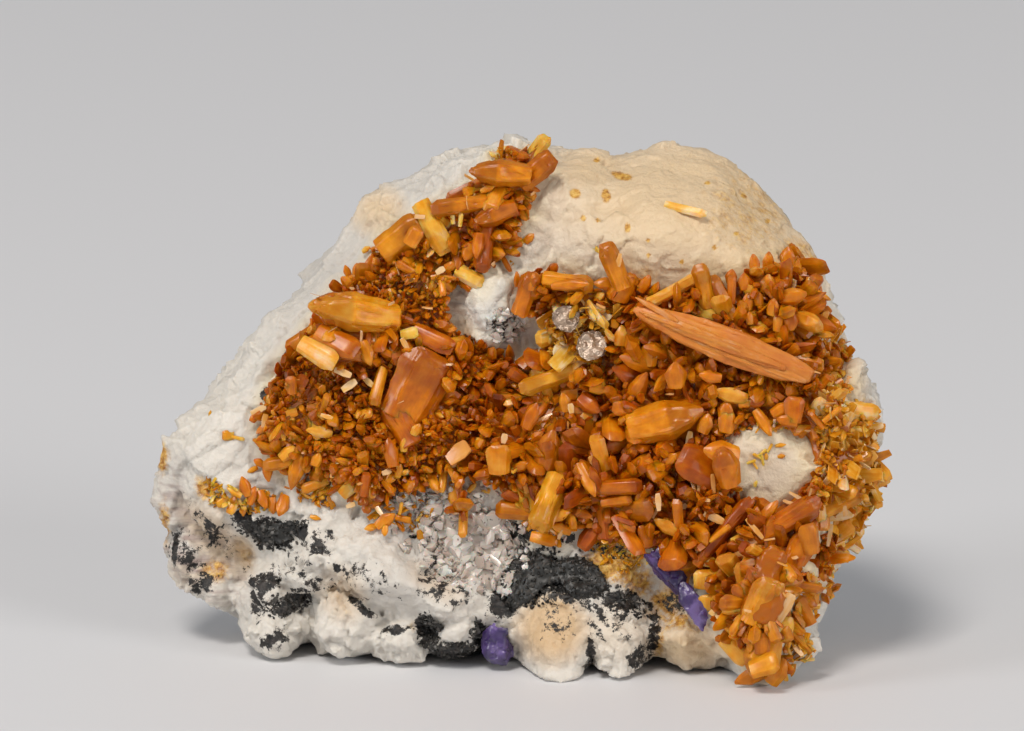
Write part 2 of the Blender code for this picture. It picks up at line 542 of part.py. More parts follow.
def lens(bm, loops, spacing, rise, roughness, seed):
    """A sheet of mineral that lies on the stone, thin at its edge and rooted a little inside it."""
    rng = Random(seed)
    flat, triangles = fill_loops(loops, spacing, seed)
    rim = sum(len(loop) for loop in loops)
    front, back = [], []
    for i, p in enumerate(flat):
        base = face_depth(p.x, p.y)
        lift = EDGE_RISE * rise if i < rim else rise + rng.uniform(-roughness, roughness)
        front.append(bm.verts.new((p.x, p.y, base - lift)))
        back.append(bm.verts.new((p.x, p.y, base + ROOT_DEPTH)))
    for triangle in triangles:
        bm.faces.new([front[i] for i in triangle])
        bm.faces.new([back[i] for i in reversed(triangle)])
    first = 0
    for loop in loops:
        for i in range(len(loop)):
            a, b = first + i, first + (i + 1) % len(loop)
            bm.faces.new((front[a], front[b], back[b], back[a]))
        first += len(loop)


def crystal(bm, sizes, ground, rng):
    """A flattened prism, six-sided or if slim four-sided, with a chisel-shaped tip at each end."""
    across, up, length, width, thickness, turn, tilt, roll, lift = sizes
    half = Vector((width, thickness, length)) / 2
    shaft = 2 * CRYSTAL_SHAFT * half.z
    corners = []
    sides = 6 if width > SLIM_WIDTH else 4
    for end in (-1, 1):
        for k in range(sides):
            angle = math.tau * (k + 1.5 - sides / 4) / sides
            corners.append((half.x * math.cos(angle), half.y * math.sin(angle), shaft * end))
        aside = rng.uniform(-TIP_SHIFT, TIP_SHIFT) * half.x
        for side in (-1, 1):
            corners.append((aside + CRYSTAL_TIP * half.x * side, 0.0, half.z * end))
    t, e = math.radians(turn), math.radians(tilt)
    along = Vector((math.cos(t) * math.cos(e), math.sin(t) * math.cos(e), -math.sin(e)))
    wide = Vector((-math.sin(t), math.cos(t), 0))
    axes = Matrix((wide, along.cross(wide), along)).transposed().to_4x4()
    middle = Vector((across, up, face_depth(across, up) - ground - lift))
    place = Matrix.Translation(middle) @ axes @ Matrix.Rotation(math.radians(roll), 4, "Z")
    hull = bmesh.ops.convex_hull(bm, input=[bm.verts.new(place @ Vector(c)) for c in corners])
    edges = [g for g in hull["geom"] if isinstance(g, bmesh.types.BMEdge)]
    bmesh.ops.dissolve_limit(bm, angle_limit=math.radians(1.0), edges=edges, verts=[])


def druse():
    """The small crystals between the large ones, in the same nine sizes."""
    rng = Random(DRUSE_SEED)
    loops = [CRUST_LOOP, loop_of(CRUST_WINDOW)]
    flat, _ = fill_loops(loops, DRUSE_SPACING, DRUSE_SEED)
    taken = [(Vector(row[:2]), row[3]) for row in LARGE_CRYSTALS]
    for p in flat[sum(len(loop) for loop in loops):]:
        length = rng.uniform(*DRUSE_LENGTH)
        width = rng.uniform(*DRUSE_WIDTH)
        turn, tilt, roll = rng.uniform(0, 360), rng.uniform(*DRUSE_TILT), rng.uniform(*DRUSE_ROLL)
        if all((p - middle).length > ROOM_SHARE * reach + ROOM_MARGIN for middle, reach in taken):
            yield (p.x, p.y, length, width, DRUSE_FLATNESS * width, turn, tilt, roll, DRUSE_LIFT)


def mica_book(bm, across, up, radius, thickness, tilt, turn, lift, grow=0.0):
    """A stack of mica leaves as one six-sided plate, facing the eye."""
    place = Matrix.Translation((across, up, face_depth(across, up) - lift))
    place @= Matrix.Rotation(math.radians(tilt), 4, "X") @ Matrix.Rotation(math.radians(turn), 4, "Z")
    bmesh.ops.create_cone(
        bm,
        cap_ends=True,
        segments=6,
        radius1=radius + grow,
        radius2=MICA_TAPER * radius + grow,
        depth=thickness + 2 * grow,
        matrix=place,
    )


def in_place(name, bm, material):
    """An object from a bmesh that is in the faced view in millimetres."""
    bmesh.ops.transform(bm, matrix=standing_matrix(), verts=bm.verts)
    return made(name, bm, material)


def eosphorite(name, outlines, thickness, grain, sizes, stone_cutter, seed):
    """A crust of eosphorite with crystals grown out of it, as one solid on the stone."""
    rng = Random(seed)
    bm = bmesh.new()
    lens(bm, outlines, grain, thickness, SHEET_ROUGHNESS, seed)
    for row in sizes:
        crystal(bm, row, thickness, rng)
    obj = in_place(name, bm, "eosphorite")
    cut(obj, stone_cutter, merge_parts=True)
    return obj


def contact_cutter(body):
    """The stone a hair larger and nearer, so that what grew on it keeps a gap to it."""
    centre = stand(FACE_CENTRE.x, FACE_CENTRE.y, BACK_DEPTH / 2)
    nearer = stand(0, 0, -CONTACT_GAP) - stand(0, 0, 0)
    obj = bpy.data.objects.new("contact", body.data.copy())
    bpy.context.scene.collection.objects.link(obj)
    grown = Matrix.Translation(centre + nearer) @ Matrix.Scale(CONTACT_GROWTH, 4)
    obj.data.transform(grown @ Matrix.Translation(-centre))
    return obj


def clear_scene():
    """Removes every object that the scene starts with."""
    for obj in list(bpy.data.objects):
        bpy.data.objects.remove(obj)


def make_materials():
    """One plain material for each kind of mineral."""
    for name, (colour, roughness) in MATERIALS.items():
        material = bpy.data.materials.new(name)
        material.use_nodes = True
        surface = material.node_tree.nodes["Principled BSDF"]
        surface.inputs["Base Color"].default_value = (*colour, 1.0)
        surface.inputs["Roughness"].default_value = roughness
        surface.inputs["Metallic"].default_value = 0.0


def main():
    """Builds the specimen: the stone first, then what grew on it."""
    clear_scene()
    make_materials()
    body = stone("feldspar_stone")
    contact = contact_cutter(body)
    crust_sizes = list(LARGE_CRYSTALS) + list(druse())
    crust_loops = [CRUST_LOOP, loop_of(CRUST_WINDOW)]
    crust = eosphorite(
        "eosphorite_crust", crust_loops, CRUST_THICKNESS, CRUST_GRAIN, crust_sizes, contact, CRUST_SEED
    )
    for name, outline, sizes in SPRIGS:
        eosphorite(name, [loop_of(outline)], SPRIG_THICKNESS, SPRIG_GRAIN, sizes, contact, SPRIG_SEED)

    bm = bmesh.new()
    crystal(bm, STRAY_PRISM, 0.0, Random(PRISM_SEED))
    cut(in_place("eosphorite_stray", bm, "eosphorite"), contact)

    for number, (name, outline, material, spacing, rise, roughness) in enumerate(PATCHES):
        bm = bmesh.new()
        lens(bm, [loop_of(outline)], spacing, rise, roughness, PATCH_SEED + number)
        cut(in_place(name, bm, material), contact)

    for name, sizes in APATITES:
        bm = bmesh.new()
        crystal(bm, sizes, 0.0, Random(APATITE_SEED))
        cut(in_place(name, bm, "apatite"), contact)

    for name, *sizes in MICA_BOOKS:
        bm = bmesh.new()
        mica_book(bm, *sizes)
        in_place(name, bm, "mica")
        bm = bmesh.new()
        mica_book(bm, *sizes, grow=CONTACT_GAP)
        cut(crust, in_place(name + "_room", bm, "mica"))


main()
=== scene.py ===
"""Eosphorite crystals on a broken block of feldspar: the looks of one mineral specimen.

Shapes are drawn as a collector faces the specimen: across to the right, up along its face and out
towards the eye, in millimetres. STAND turns that view into the frame, in metres.
"""

import math
from collections import namedtuple
from itertools import product
from random import Random

import bmesh
import bpy
import numpy as np
from bpy.props import FloatProperty, FloatVectorProperty, PointerProperty
from mathutils import Matrix, Vector, noise
from mathutils.bvhtree import BVHTree
from mathutils.kdtree import KDTree


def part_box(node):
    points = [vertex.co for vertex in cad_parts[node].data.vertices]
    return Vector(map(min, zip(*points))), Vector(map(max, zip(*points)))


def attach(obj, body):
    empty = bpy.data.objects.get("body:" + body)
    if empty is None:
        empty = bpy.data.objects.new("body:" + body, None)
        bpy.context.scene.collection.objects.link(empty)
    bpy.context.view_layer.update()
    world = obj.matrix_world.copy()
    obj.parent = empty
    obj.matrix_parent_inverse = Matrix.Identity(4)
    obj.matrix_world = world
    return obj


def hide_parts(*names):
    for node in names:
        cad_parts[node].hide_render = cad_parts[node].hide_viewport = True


bl_info = {
    "name": "Eosphorite specimen",
    "version": (1, 0, 0),
    "blender": (4, 5, 0),
    "location": "3D View > Sidebar > Eosphorite",
    "description": "Dresses the packed model of an eosphorite specimen and sets its stage",
    "category": "Object",
}

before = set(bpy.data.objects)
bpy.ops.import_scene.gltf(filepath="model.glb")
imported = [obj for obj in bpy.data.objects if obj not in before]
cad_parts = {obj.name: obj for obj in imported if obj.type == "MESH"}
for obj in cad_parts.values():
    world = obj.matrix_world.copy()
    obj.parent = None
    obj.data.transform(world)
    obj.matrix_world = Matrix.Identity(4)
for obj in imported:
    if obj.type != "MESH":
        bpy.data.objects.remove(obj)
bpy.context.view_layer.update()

MM = 0.001
NOISE_SEED = 11
# The face leans back by this, and the frame's origin lies here in the faced view: across and out.
LEAN = math.radians(12.0)
ORIGIN = (0.12, 18.49)
STAND = Matrix.Scale(MM, 4) @ Matrix((
    (1, 0, 0, -ORIGIN[0]),
    (0, math.sin(LEAN), -math.cos(LEAN), -ORIGIN[1]),
    (0, math.cos(LEAN), math.sin(LEAN), 0),
    (0, 0, 0, 1),
))
FACED = STAND.inverted()

# Crystals that stand out of the druse: across, up, length, width, thickness, turn in the face, tilt
# of the tip towards the eye, roll about its length, rise over the crust, habit, tone, gold.
LARGE_CRYSTALS = (
    (-18.0, 41.4, 10.4, 4.7, 4.2, 172, 14, 0, 1.5, "lozenge", 0.62, 0.55),
    (-18.8, 37.6, 7.0, 3.6, 2.6, 168, 4, 25, 0.5, "lozenge", 0.40, 0.20),
    (-10.8, 33.2, 8.4, 6.6, 2.4, 62, 6, 10, 1.0, "tablet", 0.42, 0.20),
    (-13.0, 29.6, 6.4, 3.6, 2.0, 118, -8, -20, 0.6, "tablet", 0.40, 0.15),
    (17.2, 43.8, 6.4, 1.6, 1.4, 28, 8, 0, -0.2, "prism", 0.80, 0.35),
    (20.4, 44.2, 5.2, 2.1, 1.8, 104, 20, 0, 0.2, "prism", 0.55, 0.55),
    (22.4, 43.0, 5.4, 2.0, 1.7, 118, 10, 20, 0.1, "prism", 0.50, 0.50),
    (-2.0, 56.6, 7.0, 3.2, 2.8, 176, 8, 0, 0.0, "lozenge", 0.50, 0.35),
    (2.2, 57.0, 5.0, 2.9, 2.0, 40, 10, 0, 0.2, "tablet", 0.40, 0.25),
    (1.9, 59.0, 4.8, 1.9, 1.6, 52, 4, 0, -1.0, "prism", 0.75, 0.85),
    (-6.4, 53.0, 6.4, 2.2, 1.8, 188, 6, 0, -0.2, "prism", 0.45, 0.35),
    (-2.6, 52.0, 5.2, 2.6, 2.0, 200, 10, 0, 0.4, "lozenge", 0.35, 0.30),
    (-3.6, 48.6, 6.0, 2.2, 1.8, 262, 10, 0, 0.2, "prism", 0.35, 0.10),
    (-12.6, 49.6, 5.8, 4.0, 1.8, 36, 10, 0, 0.1, "tablet", 0.50, 0.55),
    (-9.2, 50.6, 6.4, 2.6, 1.6, -62, 4, 0, 0.0, "tablet", 0.72, 0.70),
    (-5.2, 45.2, 3.4, 2.0, 1.4, -28, 6, 0, -0.2, "prism", 0.80, 0.70),
    (3.4, 34.0, 7.0, 2.2, 2.0, 199, 10, 0, 0.9, "prism", 0.60, 0.75),
    (16.4, 29.6, 8.8, 5.0, 3.8, 14, 12, 0, 1.2, "lozenge", 0.55, 0.30),
    (3.4, 20.4, 6.8, 3.1, 2.6, 248, 18, 0, 0.8, "prism", 0.60, 0.80),
    (-1.7, 25.2, 3.2, 2.8, 2.4, 95, 30, 15, 0.4, "tablet", 0.55, 0.30),
    (26.8, 9.8, 5.6, 4.2, 1.9, 64, 12, 14, 0.8, "tablet", 0.60, 0.55),
    (27.6, 13.8, 4.8, 3.4, 2.2, 80, 24, 0, 0.8, "lozenge", 0.56, 0.55),
    (31.2, 15.8, 6.4, 3.2, 1.8, 62, 6, 0, 0.1, "lozenge", 0.45, 0.20),
    (22.6, 17.4, 9.6, 1.9, 1.9, 50, 8, 0, 0.6, "prism", 0.35, 0.05),
    (29.6, 18.8, 8.4, 2.6, 2.0, 32, 10, 0, 0.5, "prism", 0.40, 0.10),
    (22.8, 24.6, 5.0, 3.4, 2.2, 104, 24, 0, 0.5, "lozenge", 0.50, 0.20),
    (35.6, 20.8, 5.4, 2.6, 1.1, 28, -6, 0, 0.0, "tablet", 0.62, 0.45),
    (10.6, 46.4, 5.6, 2.4, 1.8, 110, 14, 0, -0.2, "tablet", 0.50, 0.35),
    (5.6, 44.6, 5.6, 2.2, 1.8, -8, 8, 0, -0.1, "prism", 0.60, 0.45),
    (1.0, 43.4, 5.2, 2.3, 1.9, 72, 16, 0, 0.0, "prism", 0.45, 0.20),
    (26.6, 3.6, 5.2, 4.2, 2.6, 250, -4, 0, -0.4, "lozenge", 0.55, 0.60),
    (-25.8, 24.8, 4.4, 1.6, 1.2, 190, 2, 0, -0.5, "prism", 0.60, 0.50),
    (-24.4, 23.8, 4.4, 1.9, 1.4, 256, 6, 0, -0.5, "lozenge", 0.50, 0.40),
)
# How far the crust carries the large crystals out of the stone.
CRUST_THICKNESS = 2.4

# Lesser crystals that still show by themselves: across, up, length, width, turn, habit, tone, gold
# and rise over what carries them.
LESSER_CRYSTALS = (
    (-19.7, 38.1, 5.3, 2.8, -28, "tablet", 0.40, 0.20, 0.2),
    (-21.8, 36.8, 4.9, 2.6, -31, "tablet", 0.80, 0.35, 0.9),
    (-19.1, 34.7, 2.0, 1.1, -20, "plate", 0.98, 0.60, 0.8),
    (-18.4, 33.3, 1.9, 1.3, 35, "plate", 0.92, 0.80, 0.8),
    (-16.3, 33.7, 1.4, 1.0, -40, "plate", 0.85, 0.85, 0.7),
    (-16.5, 36.8, 2.9, 1.6, -70, "lozenge", 0.55, 0.40, 0.5),
    (-11.8, 39.0, 2.0, 1.4, 10, "tablet", 0.80, 0.90, 0.8),
    (-12.3, 37.8, 1.6, 0.9, 120, "plate", 0.85, 0.25, 0.8),
    (-15.2, 33.2, 4.6, 1.5, 256, "prism", 0.50, 0.60, 0.7),
    (-18.7, 45.9, 1.5, 0.9, 110, "lozenge", 0.55, 0.30, 0.0),
    (-17.7, 46.1, 1.5, 0.9, 80, "lozenge", 0.55, 0.30, 0.0),
    (-18.1, 45.1, 1.8, 1.0, 20, "lozenge", 0.55, 0.30, 0.0),
    (-16.1, 46.7, 2.2, 1.5, 80, "lozenge", 0.50, 0.20, 0.0),
    (-16.6, 48.3, 1.1, 0.7, 30, "lozenge", 0.75, 0.70, -0.3),
    (-11.3, 49.6, 2.2, 2.0, 60, "tablet", 0.55, 0.35, 0.2),
    (-7.2, 46.4, 1.5, 1.2, 20, "lozenge", 0.55, 0.30, 0.2),
    (-8.4, 45.9, 1.1, 1.0, 30, "plate", 0.98, 0.60, 0.4),
    (-9.2, 38.3, 5.0, 2.4, -25, "tablet", 0.36, 0.10, 0.6),
    (-28.5, 30.6, 1.9, 1.0, 25, "plate", 0.95, 0.65, 0.4),
    (-29.1, 29.6, 1.0, 0.9, 200, "lozenge", 0.50, 0.20, 0.0),
    (-27.8, 29.4, 1.5, 1.0, 80, "plate", 0.90, 0.35, 0.3),
    (-26.8, 28.5, 1.4, 1.1, 210, "lozenge", 0.50, 0.20, 0.2),
    (-25.7, 27.9, 1.3, 0.7, 95, "lozenge", 0.80, 0.40, 0.3),
    (-28.2, 27.2, 2.0, 0.5, 175, "prism", 0.60, 0.40, -0.6),
    (-26.0, 27.1, 2.6, 1.0, -15, "lozenge", 0.50, 0.20, 0.0),
    (-29.2, 24.0, 1.3, 0.7, 205, "lozenge", 0.60, 0.50, -0.8),
    (-27.5, 23.8, 2.4, 1.3, 275, "lozenge", 0.50, 0.25, -0.5),
    (-28.5, 24.8, 1.3, 1.0, 150, "lozenge", 0.50, 0.25, -0.4),
    (-26.3, 24.5, 1.6, 1.1, 300, "lozenge", 0.55, 0.40, -0.4),
    (-25.7, 24.0, 1.6, 1.1, -50, "lozenge", 0.60, 0.40, -0.5),
    (-25.2, 25.9, 2.1, 1.5, 40, "lozenge", 0.65, 0.50, 0.0),
    (-23.5, 24.9, 2.1, 0.6, 268, "prism", 0.55, 0.40, -0.8),
    (-22.0, 25.2, 1.6, 1.3, 70, "lozenge", 0.60, 0.45, 0.0),
    (-22.3, 22.3, 3.2, 1.2, 200, "prism", 0.65, 0.50, -0.4),
    (-21.2, 21.7, 2.0, 1.0, 205, "prism", 0.75, 0.60, -0.5),
    (-18.6, 21.8, 1.9, 1.8, 40, "tablet", 0.75, 0.60, 0.0),
    (-18.3, 20.1, 1.1, 0.8, 20, "plate", 0.95, 0.65, 0.0),
    (-16.7, 22.5, 2.8, 1.2, 82, "prism", 0.35, 0.10, 0.2),
    (-13.8, 21.7, 1.0, 0.6, 265, "prism", 0.45, 0.15, -0.6),
    (-14.0, 23.1, 1.6, 1.3, 250, "lozenge", 0.65, 0.50, -0.2),
    (-14.3, 23.8, 1.1, 0.9, 20, "plate", 0.95, 0.35, 0.3),
    (-13.0, 24.0, 1.6, 1.0, 80, "lozenge", 0.65, 0.50, 0.0),
    (-11.3, 21.8, 2.0, 0.7, 262, "prism", 0.45, 0.15, -0.8),
    (-11.0, 28.5, 1.5, 1.3, 60, "lozenge", 0.65, 0.50, 0.5),
    (-12.4, 26.8, 1.6, 1.1, 85, "lozenge", 0.65, 0.50, 0.4),
    (-13.8, 26.0, 3.3, 1.9, 100, "lozenge", 0.45, 0.20, 0.4),
    (-21.8, 28.2, 3.1, 1.3, 170, "lozenge", 0.80, 0.45, 0.5),
    (-20.9, 29.9, 1.4, 0.7, -15, "plate", 0.85, 0.25, 0.8),
    (-16.6, 30.2, 1.6, 1.3, 10, "tablet", 0.50, 0.65, 0.3),
    (-9.0, 22.0, 1.4, 1.0, 130, "plate", 0.98, 0.70, -0.1),
    (-6.4, 25.9, 2.9, 2.7, 40, "plate", 0.66, 0.10, 0.2),
    (-8.1, 23.1, 3.5, 1.0, 262, "prism", 0.68, 0.55, -0.2),
    (-6.8, 21.3, 2.9, 2.2, 270, "lozenge", 0.60, 0.45, -0.8),
    (-4.9, 22.1, 1.4, 0.7, 45, "lozenge", 0.65, 0.50, -0.8),
    (-5.0, 20.7, 1.4, 0.9, -40, "lozenge", 0.62, 0.45, -0.9),
    (-5.9, 18.1, 3.3, 1.2, 268, "prism", 0.62, 0.60, -1.4),
    (-6.8, 23.3, 1.3, 1.1, 95, "lozenge", 0.55, 0.30, 0.0),
    (-5.4, 23.9, 1.1, 0.4, -50, "prism", 0.70, 0.60, -0.3),
    (-2.9, 21.7, 2.2, 0.8, 180, "lozenge", 0.70, 0.60, -1.2),
    (-0.1, 22.2, 2.5, 0.8, 10, "lozenge", 0.65, 0.50, -0.9),
    (-1.5, 21.1, 1.3, 0.6, -60, "lozenge", 0.65, 0.50, -1.2),
    (-2.0, 25.2, 3.3, 2.9, 92, "tablet", 0.62, 0.35, 0.4),
    (-1.4, 27.5, 1.1, 1.0, 80, "plate", 1.00, 0.30, 1.0),
    (0.6, 24.5, 1.6, 1.3, 20, "lozenge", 0.55, 0.30, 0.1),
    (1.6, 30.0, 3.2, 1.9, 65, "lozenge", 0.42, 0.15, 0.8),
    (5.2, 31.5, 2.3, 1.4, 100, "lozenge", 0.58, 0.40, 0.9),
    (5.9, 30.8, 1.1, 1.0, 100, "plate", 0.95, 0.60, 1.0),
    (8.0, 31.2, 2.9, 2.2, -40, "lozenge", 0.34, 0.05, 0.6),
    (9.0, 32.9, 2.1, 1.3, -10, "lozenge", 0.60, 0.40, 0.9),
    (3.5, 26.3, 4.6, 3.1, 75, "lozenge", 0.32, 0.35, 0.2),
    (5.8, 26.3, 2.6, 2.0, 60, "lozenge", 0.52, 0.25, 0.4),
    (9.0, 26.0, 4.2, 2.0, 105, "prism", 0.62, 0.45, 0.8),
    (8.4, 24.8, 1.8, 0.9, 120, "plate", 0.85, 0.30, 0.9),
    (7.7, 22.9, 4.2, 1.6, -65, "lozenge", 0.55, 0.30, 0.4),
    (11.4, 22.3, 4.7, 1.9, 3, "prism", 0.38, 0.10, 0.5),
    (10.9, 20.7, 3.5, 1.4, 8, "prism", 0.50, 0.20, 0.3),
    (14.9, 23.8, 3.2, 1.9, -60, "lozenge", 0.46, 0.15, 0.6),
    (13.6, 21.4, 2.3, 1.6, 70, "lozenge", 0.52, 0.25, 0.4),
    (15.4, 20.6, 2.0, 0.9, 95, "plate", 1.00, 0.15, 1.0),
    (4.7, 19.1, 2.3, 1.5, 15, "lozenge", 0.60, 0.50, 0.0),
    (6.0, 20.7, 1.3, 1.0, 60, "lozenge", 0.55, 0.35, 0.0),
    (7.2, 19.2, 2.3, 1.3, -15, "lozenge", 0.42, 0.30, -0.2),
    (4.8, 17.6, 2.4, 1.3, 160, "lozenge", 0.52, 0.35, -0.3),
    (3.0, 16.5, 3.1, 1.6, -10, "tablet", 0.58, 0.40, -0.6),
    (14.1, 16.9, 2.5, 2.1, 100, "tablet", 0.52, 0.20, 0.3),
    (16.3, 17.9, 3.3, 1.6, 150, "lozenge", 0.65, 0.50, 0.3),
    (26.1, 31.5, 1.9, 1.4, 0, "lozenge", 0.36, 0.10, 0.4),
    (28.8, 30.7, 2.3, 1.6, 30, "lozenge", 0.50, 0.20, 0.3),
    (30.2, 30.7, 2.9, 2.3, 85, "tablet", 0.40, 0.12, 0.3),
    (23.0, 29.5, 2.8, 2.2, 80, "lozenge", 0.55, 0.30, 0.6),
    (20.6, 29.2, 2.3, 1.9, 70, "lozenge", 0.42, 0.45, 0.3),
    (18.8, 27.4, 1.9, 1.0, 80, "plate", 0.90, 0.75, 0.5),
    (22.2, 26.0, 4.1, 2.8, 170, "lozenge", 0.60, 0.20, 0.8),
    (16.7, 25.3, 2.0, 1.3, 40, "lozenge", 0.40, 0.40, 0.3),
    (26.9, 29.2, 3.5, 1.4, -60, "lozenge", 0.55, 0.30, 0.3),
    (29.4, 29.5, 2.4, 1.5, 170, "lozenge", 0.50, 0.20, 0.2),
    (30.7, 21.1, 2.3, 0.6, -30, "plate", 0.92, 0.20, 0.4),
    (27.4, 19.4, 3.6, 1.6, 50, "lozenge", 0.52, 0.25, 0.0),
    (19.1, 23.1, 3.1, 0.9, 105, "plate", 0.82, 0.20, 1.0),
    (19.9, 22.7, 2.4, 0.7, 90, "plate", 0.80, 0.20, 1.0),
    (21.4, 22.6, 2.2, 0.7, 95, "plate", 0.78, 0.20, 0.9),
    (20.6, 24.2, 6.8, 4.4, 150, "tablet", 0.32, 0.08, 0.2),
    (21.5, 18.9, 2.4, 1.3, -25, "plate", 0.88, 0.25, 0.9),
    (17.5, 19.4, 3.3, 1.3, 95, "prism", 0.50, 0.25, 0.6),
    (18.6, 15.5, 2.5, 1.0, -15, "tablet", 0.75, 0.70, 0.5),
    (24.4, 16.5, 2.1, 1.4, 20, "lozenge", 0.68, 0.50, 0.5),
    (25.9, 17.7, 2.9, 0.8, -50, "plate", 0.86, 0.25, 1.0),
    (31.9, 16.6, 3.6, 2.4, 100, "tablet", 0.46, 0.35, 0.2),
    (34.3, 16.9, 2.5, 0.7, 80, "plate", 0.95, 0.55, 0.3),
    (35.4, 19.0, 3.1, 1.5, 10, "plate", 0.95, 0.85, 0.6),
    (38.3, 24.8, 3.2, 1.4, 40, "plate", 0.70, 0.70, 0.4),
    (34.3, 30.2, 2.6, 0.7, 40, "prism", 0.62, 0.40, 0.6),
    (32.7, 29.5, 2.3, 0.7, 130, "prism", 0.50, 0.30, 0.5),
    (33.6, 31.8, 2.4, 1.5, 110, "plate", 0.80, 0.85, 0.3),
    (36.4, 29.7, 1.6, 1.3, 60, "plate", 0.92, 0.70, 0.4),
    (11.6, 44.1, 3.5, 2.9, 70, "tablet", 0.52, 0.25, 0.2),
    (14.0, 44.5, 2.2, 1.4, 60, "lozenge", 0.50, 0.25, 0.0),
    (11.4, 38.8, 2.3, 1.9, 85, "lozenge", 0.66, 0.55, 0.7),
    (14.4, 36.9, 3.0, 2.3, 90, "lozenge", 0.58, 0.40, 0.7),
    (12.2, 34.6, 4.2, 2.4, 160, "lozenge", 0.28, 0.08, 0.2),
    (17.3, 34.5, 3.1, 2.5, 95, "lozenge", 0.52, 0.25, 0.6),
    (21.0, 34.3, 2.6, 1.5, 172, "lozenge", 0.52, 0.20, 0.6),
    (23.2, 32.3, 4.0, 2.0, 165, "lozenge", 0.70, 0.45, 0.9),
    (22.8, 30.6, 2.3, 1.9, 80, "lozenge", 0.52, 0.25, 0.4),
    (25.2, 31.4, 2.1, 1.2, 10, "lozenge", 0.50, 0.25, 0.4),
    (23.4, 45.2, 1.8, 1.4, 85, "lozenge", 0.46, 0.15, 0.4),
    (25.9, 46.6, 2.3, 1.4, 95, "lozenge", 0.55, 0.25, -0.2),
    (27.5, 46.9, 2.3, 1.4, 85, "lozenge", 0.55, 0.25, -0.2),
    (29.7, 47.4, 2.4, 1.9, 88, "lozenge", 0.55, 0.25, -0.3),
    (31.4, 46.1, 1.9, 1.4, 75, "lozenge", 0.60, 0.35, 0.0),
    (32.6, 44.7, 2.0, 1.8, 60, "lozenge", 0.55, 0.25, 0.0),
    (33.0, 43.5, 2.1, 1.4, 70, "lozenge", 0.50, 0.20, 0.2),
    (33.4, 42.4, 2.3, 1.3, 80, "lozenge", 0.48, 0.20, 0.2),
    (23.4, 43.8, 3.2, 1.2, 90, "prism", 0.46, 0.15, 0.6),
    (24.8, 44.7, 2.0, 1.4, 95, "lozenge", 0.50, 0.20, 0.3),
    (27.3, 44.5, 2.2, 1.9, 80, "lozenge", 0.58, 0.35, 0.6),
    (29.1, 44.9, 1.8, 1.3, 95, "lozenge", 0.50, 0.20, 0.2),
    (30.1, 43.1, 3.2, 2.1, 10, "lozenge", 0.56, 0.25, 0.7),
    (25.2, 42.5, 2.0, 1.4, 85, "lozenge", 0.52, 0.25, 0.8),
    (26.3, 42.9, 1.8, 1.3, 100, "lozenge", 0.56, 0.30, 0.6),
    (27.9, 41.9, 2.0, 1.5, 80, "lozenge", 0.56, 0.30, 0.8),
    (25.4, 40.7, 1.5, 1.1, 95, "lozenge", 0.60, 0.35, 0.8),
    (28.5, 40.4, 2.4, 1.3, 85, "lozenge", 0.54, 0.30, 0.8),
    (29.9, 40.4, 2.1, 1.6, 80, "lozenge", 0.48, 0.15, 0.8),
    (33.4, 40.2, 1.8, 1.3, 85, "lozenge", 0.50, 0.20, 0.2),
    (32.6, 41.7, 1.9, 1.4, 90, "lozenge", 0.54, 0.25, 0.6),
    (33.2, 36.9, 2.2, 1.4, 80, "lozenge", 0.58, 0.35, 0.2),
    (34.2, 37.4, 1.6, 0.9, 70, "lozenge", 0.60, 0.40, -0.2),
    (19.7, 41.6, 4.3, 1.5, -22, "tablet", 0.72, 0.85, 0.4),
    (-3.2, 54.9, 1.8, 0.8, 20, "lozenge", 0.62, 0.40, 0.3),
    (1.1, 54.2, 1.1, 0.4, 25, "prism", 0.35, 0.30, -0.6),
    (1.3, 53.6, 1.0, 0.4, 0, "prism", 0.38, 0.30, -0.7),
    (1.1, 52.9, 1.0, 0.4, -20, "prism", 0.38, 0.30, -0.7),
    (0.7, 52.2, 1.1, 0.4, -35, "prism", 0.42, 0.35, -0.6),
    (0.3, 53.8, 1.2, 0.6, 40, "prism", 0.40, 0.30, -0.3),
    (-7.1, 51.8, 1.6, 0.6, 95, "prism", 0.88, 0.75, 0.3),
    (-6.2, 51.5, 1.6, 0.6, 85, "prism", 0.86, 0.75, 0.3),
    (-3.1, 46.9, 2.6, 0.6, 255, "prism", 0.60, 0.40, -0.8),
    (-5.4, 47.9, 2.0, 1.6, 250, "lozenge", 0.50, 0.25, 0.3),
    (-6.9, 46.6, 1.6, 1.1, 20, "lozenge", 0.52, 0.20, 0.0),
    (-4.3, 48.6, 2.9, 1.5, 262, "lozenge", 0.42, 0.15, 0.4),
    (0.7, 49.2, 2.6, 0.6, 38, "prism", 0.66, 0.60, -1.0),
    (1.4, 49.5, 1.4, 1.0, 45, "lozenge", 0.55, 0.35, -0.8),
    (-0.7, 47.0, 2.6, 0.6, -68, "prism", 0.66, 0.60, -1.2),
    (-1.8, 46.9, 1.0, 0.6, 50, "prism", 0.48, 0.15, -1.4),
    (-0.2, 50.0, 1.2, 0.4, 5, "prism", 0.72, 0.65, -1.2),
    (8.5, 48.6, 1.2, 0.4, -55, "prism", 0.74, 0.80, -1.3),
    (9.0, 48.1, 1.5, 0.6, -25, "prism", 0.76, 0.80, -1.1),
    (8.2, 47.2, 1.2, 0.4, 35, "prism", 0.80, 0.85, -1.3),
    (0.0, 45.0, 1.8, 0.9, 92, "lozenge", 0.46, 0.20, 0.1),
    (1.7, 44.7, 2.1, 1.1, 80, "lozenge", 0.50, 0.20, 0.2),
    (5.9, 44.3, 4.4, 1.3, 2, "lozenge", 0.54, 0.30, 0.3),
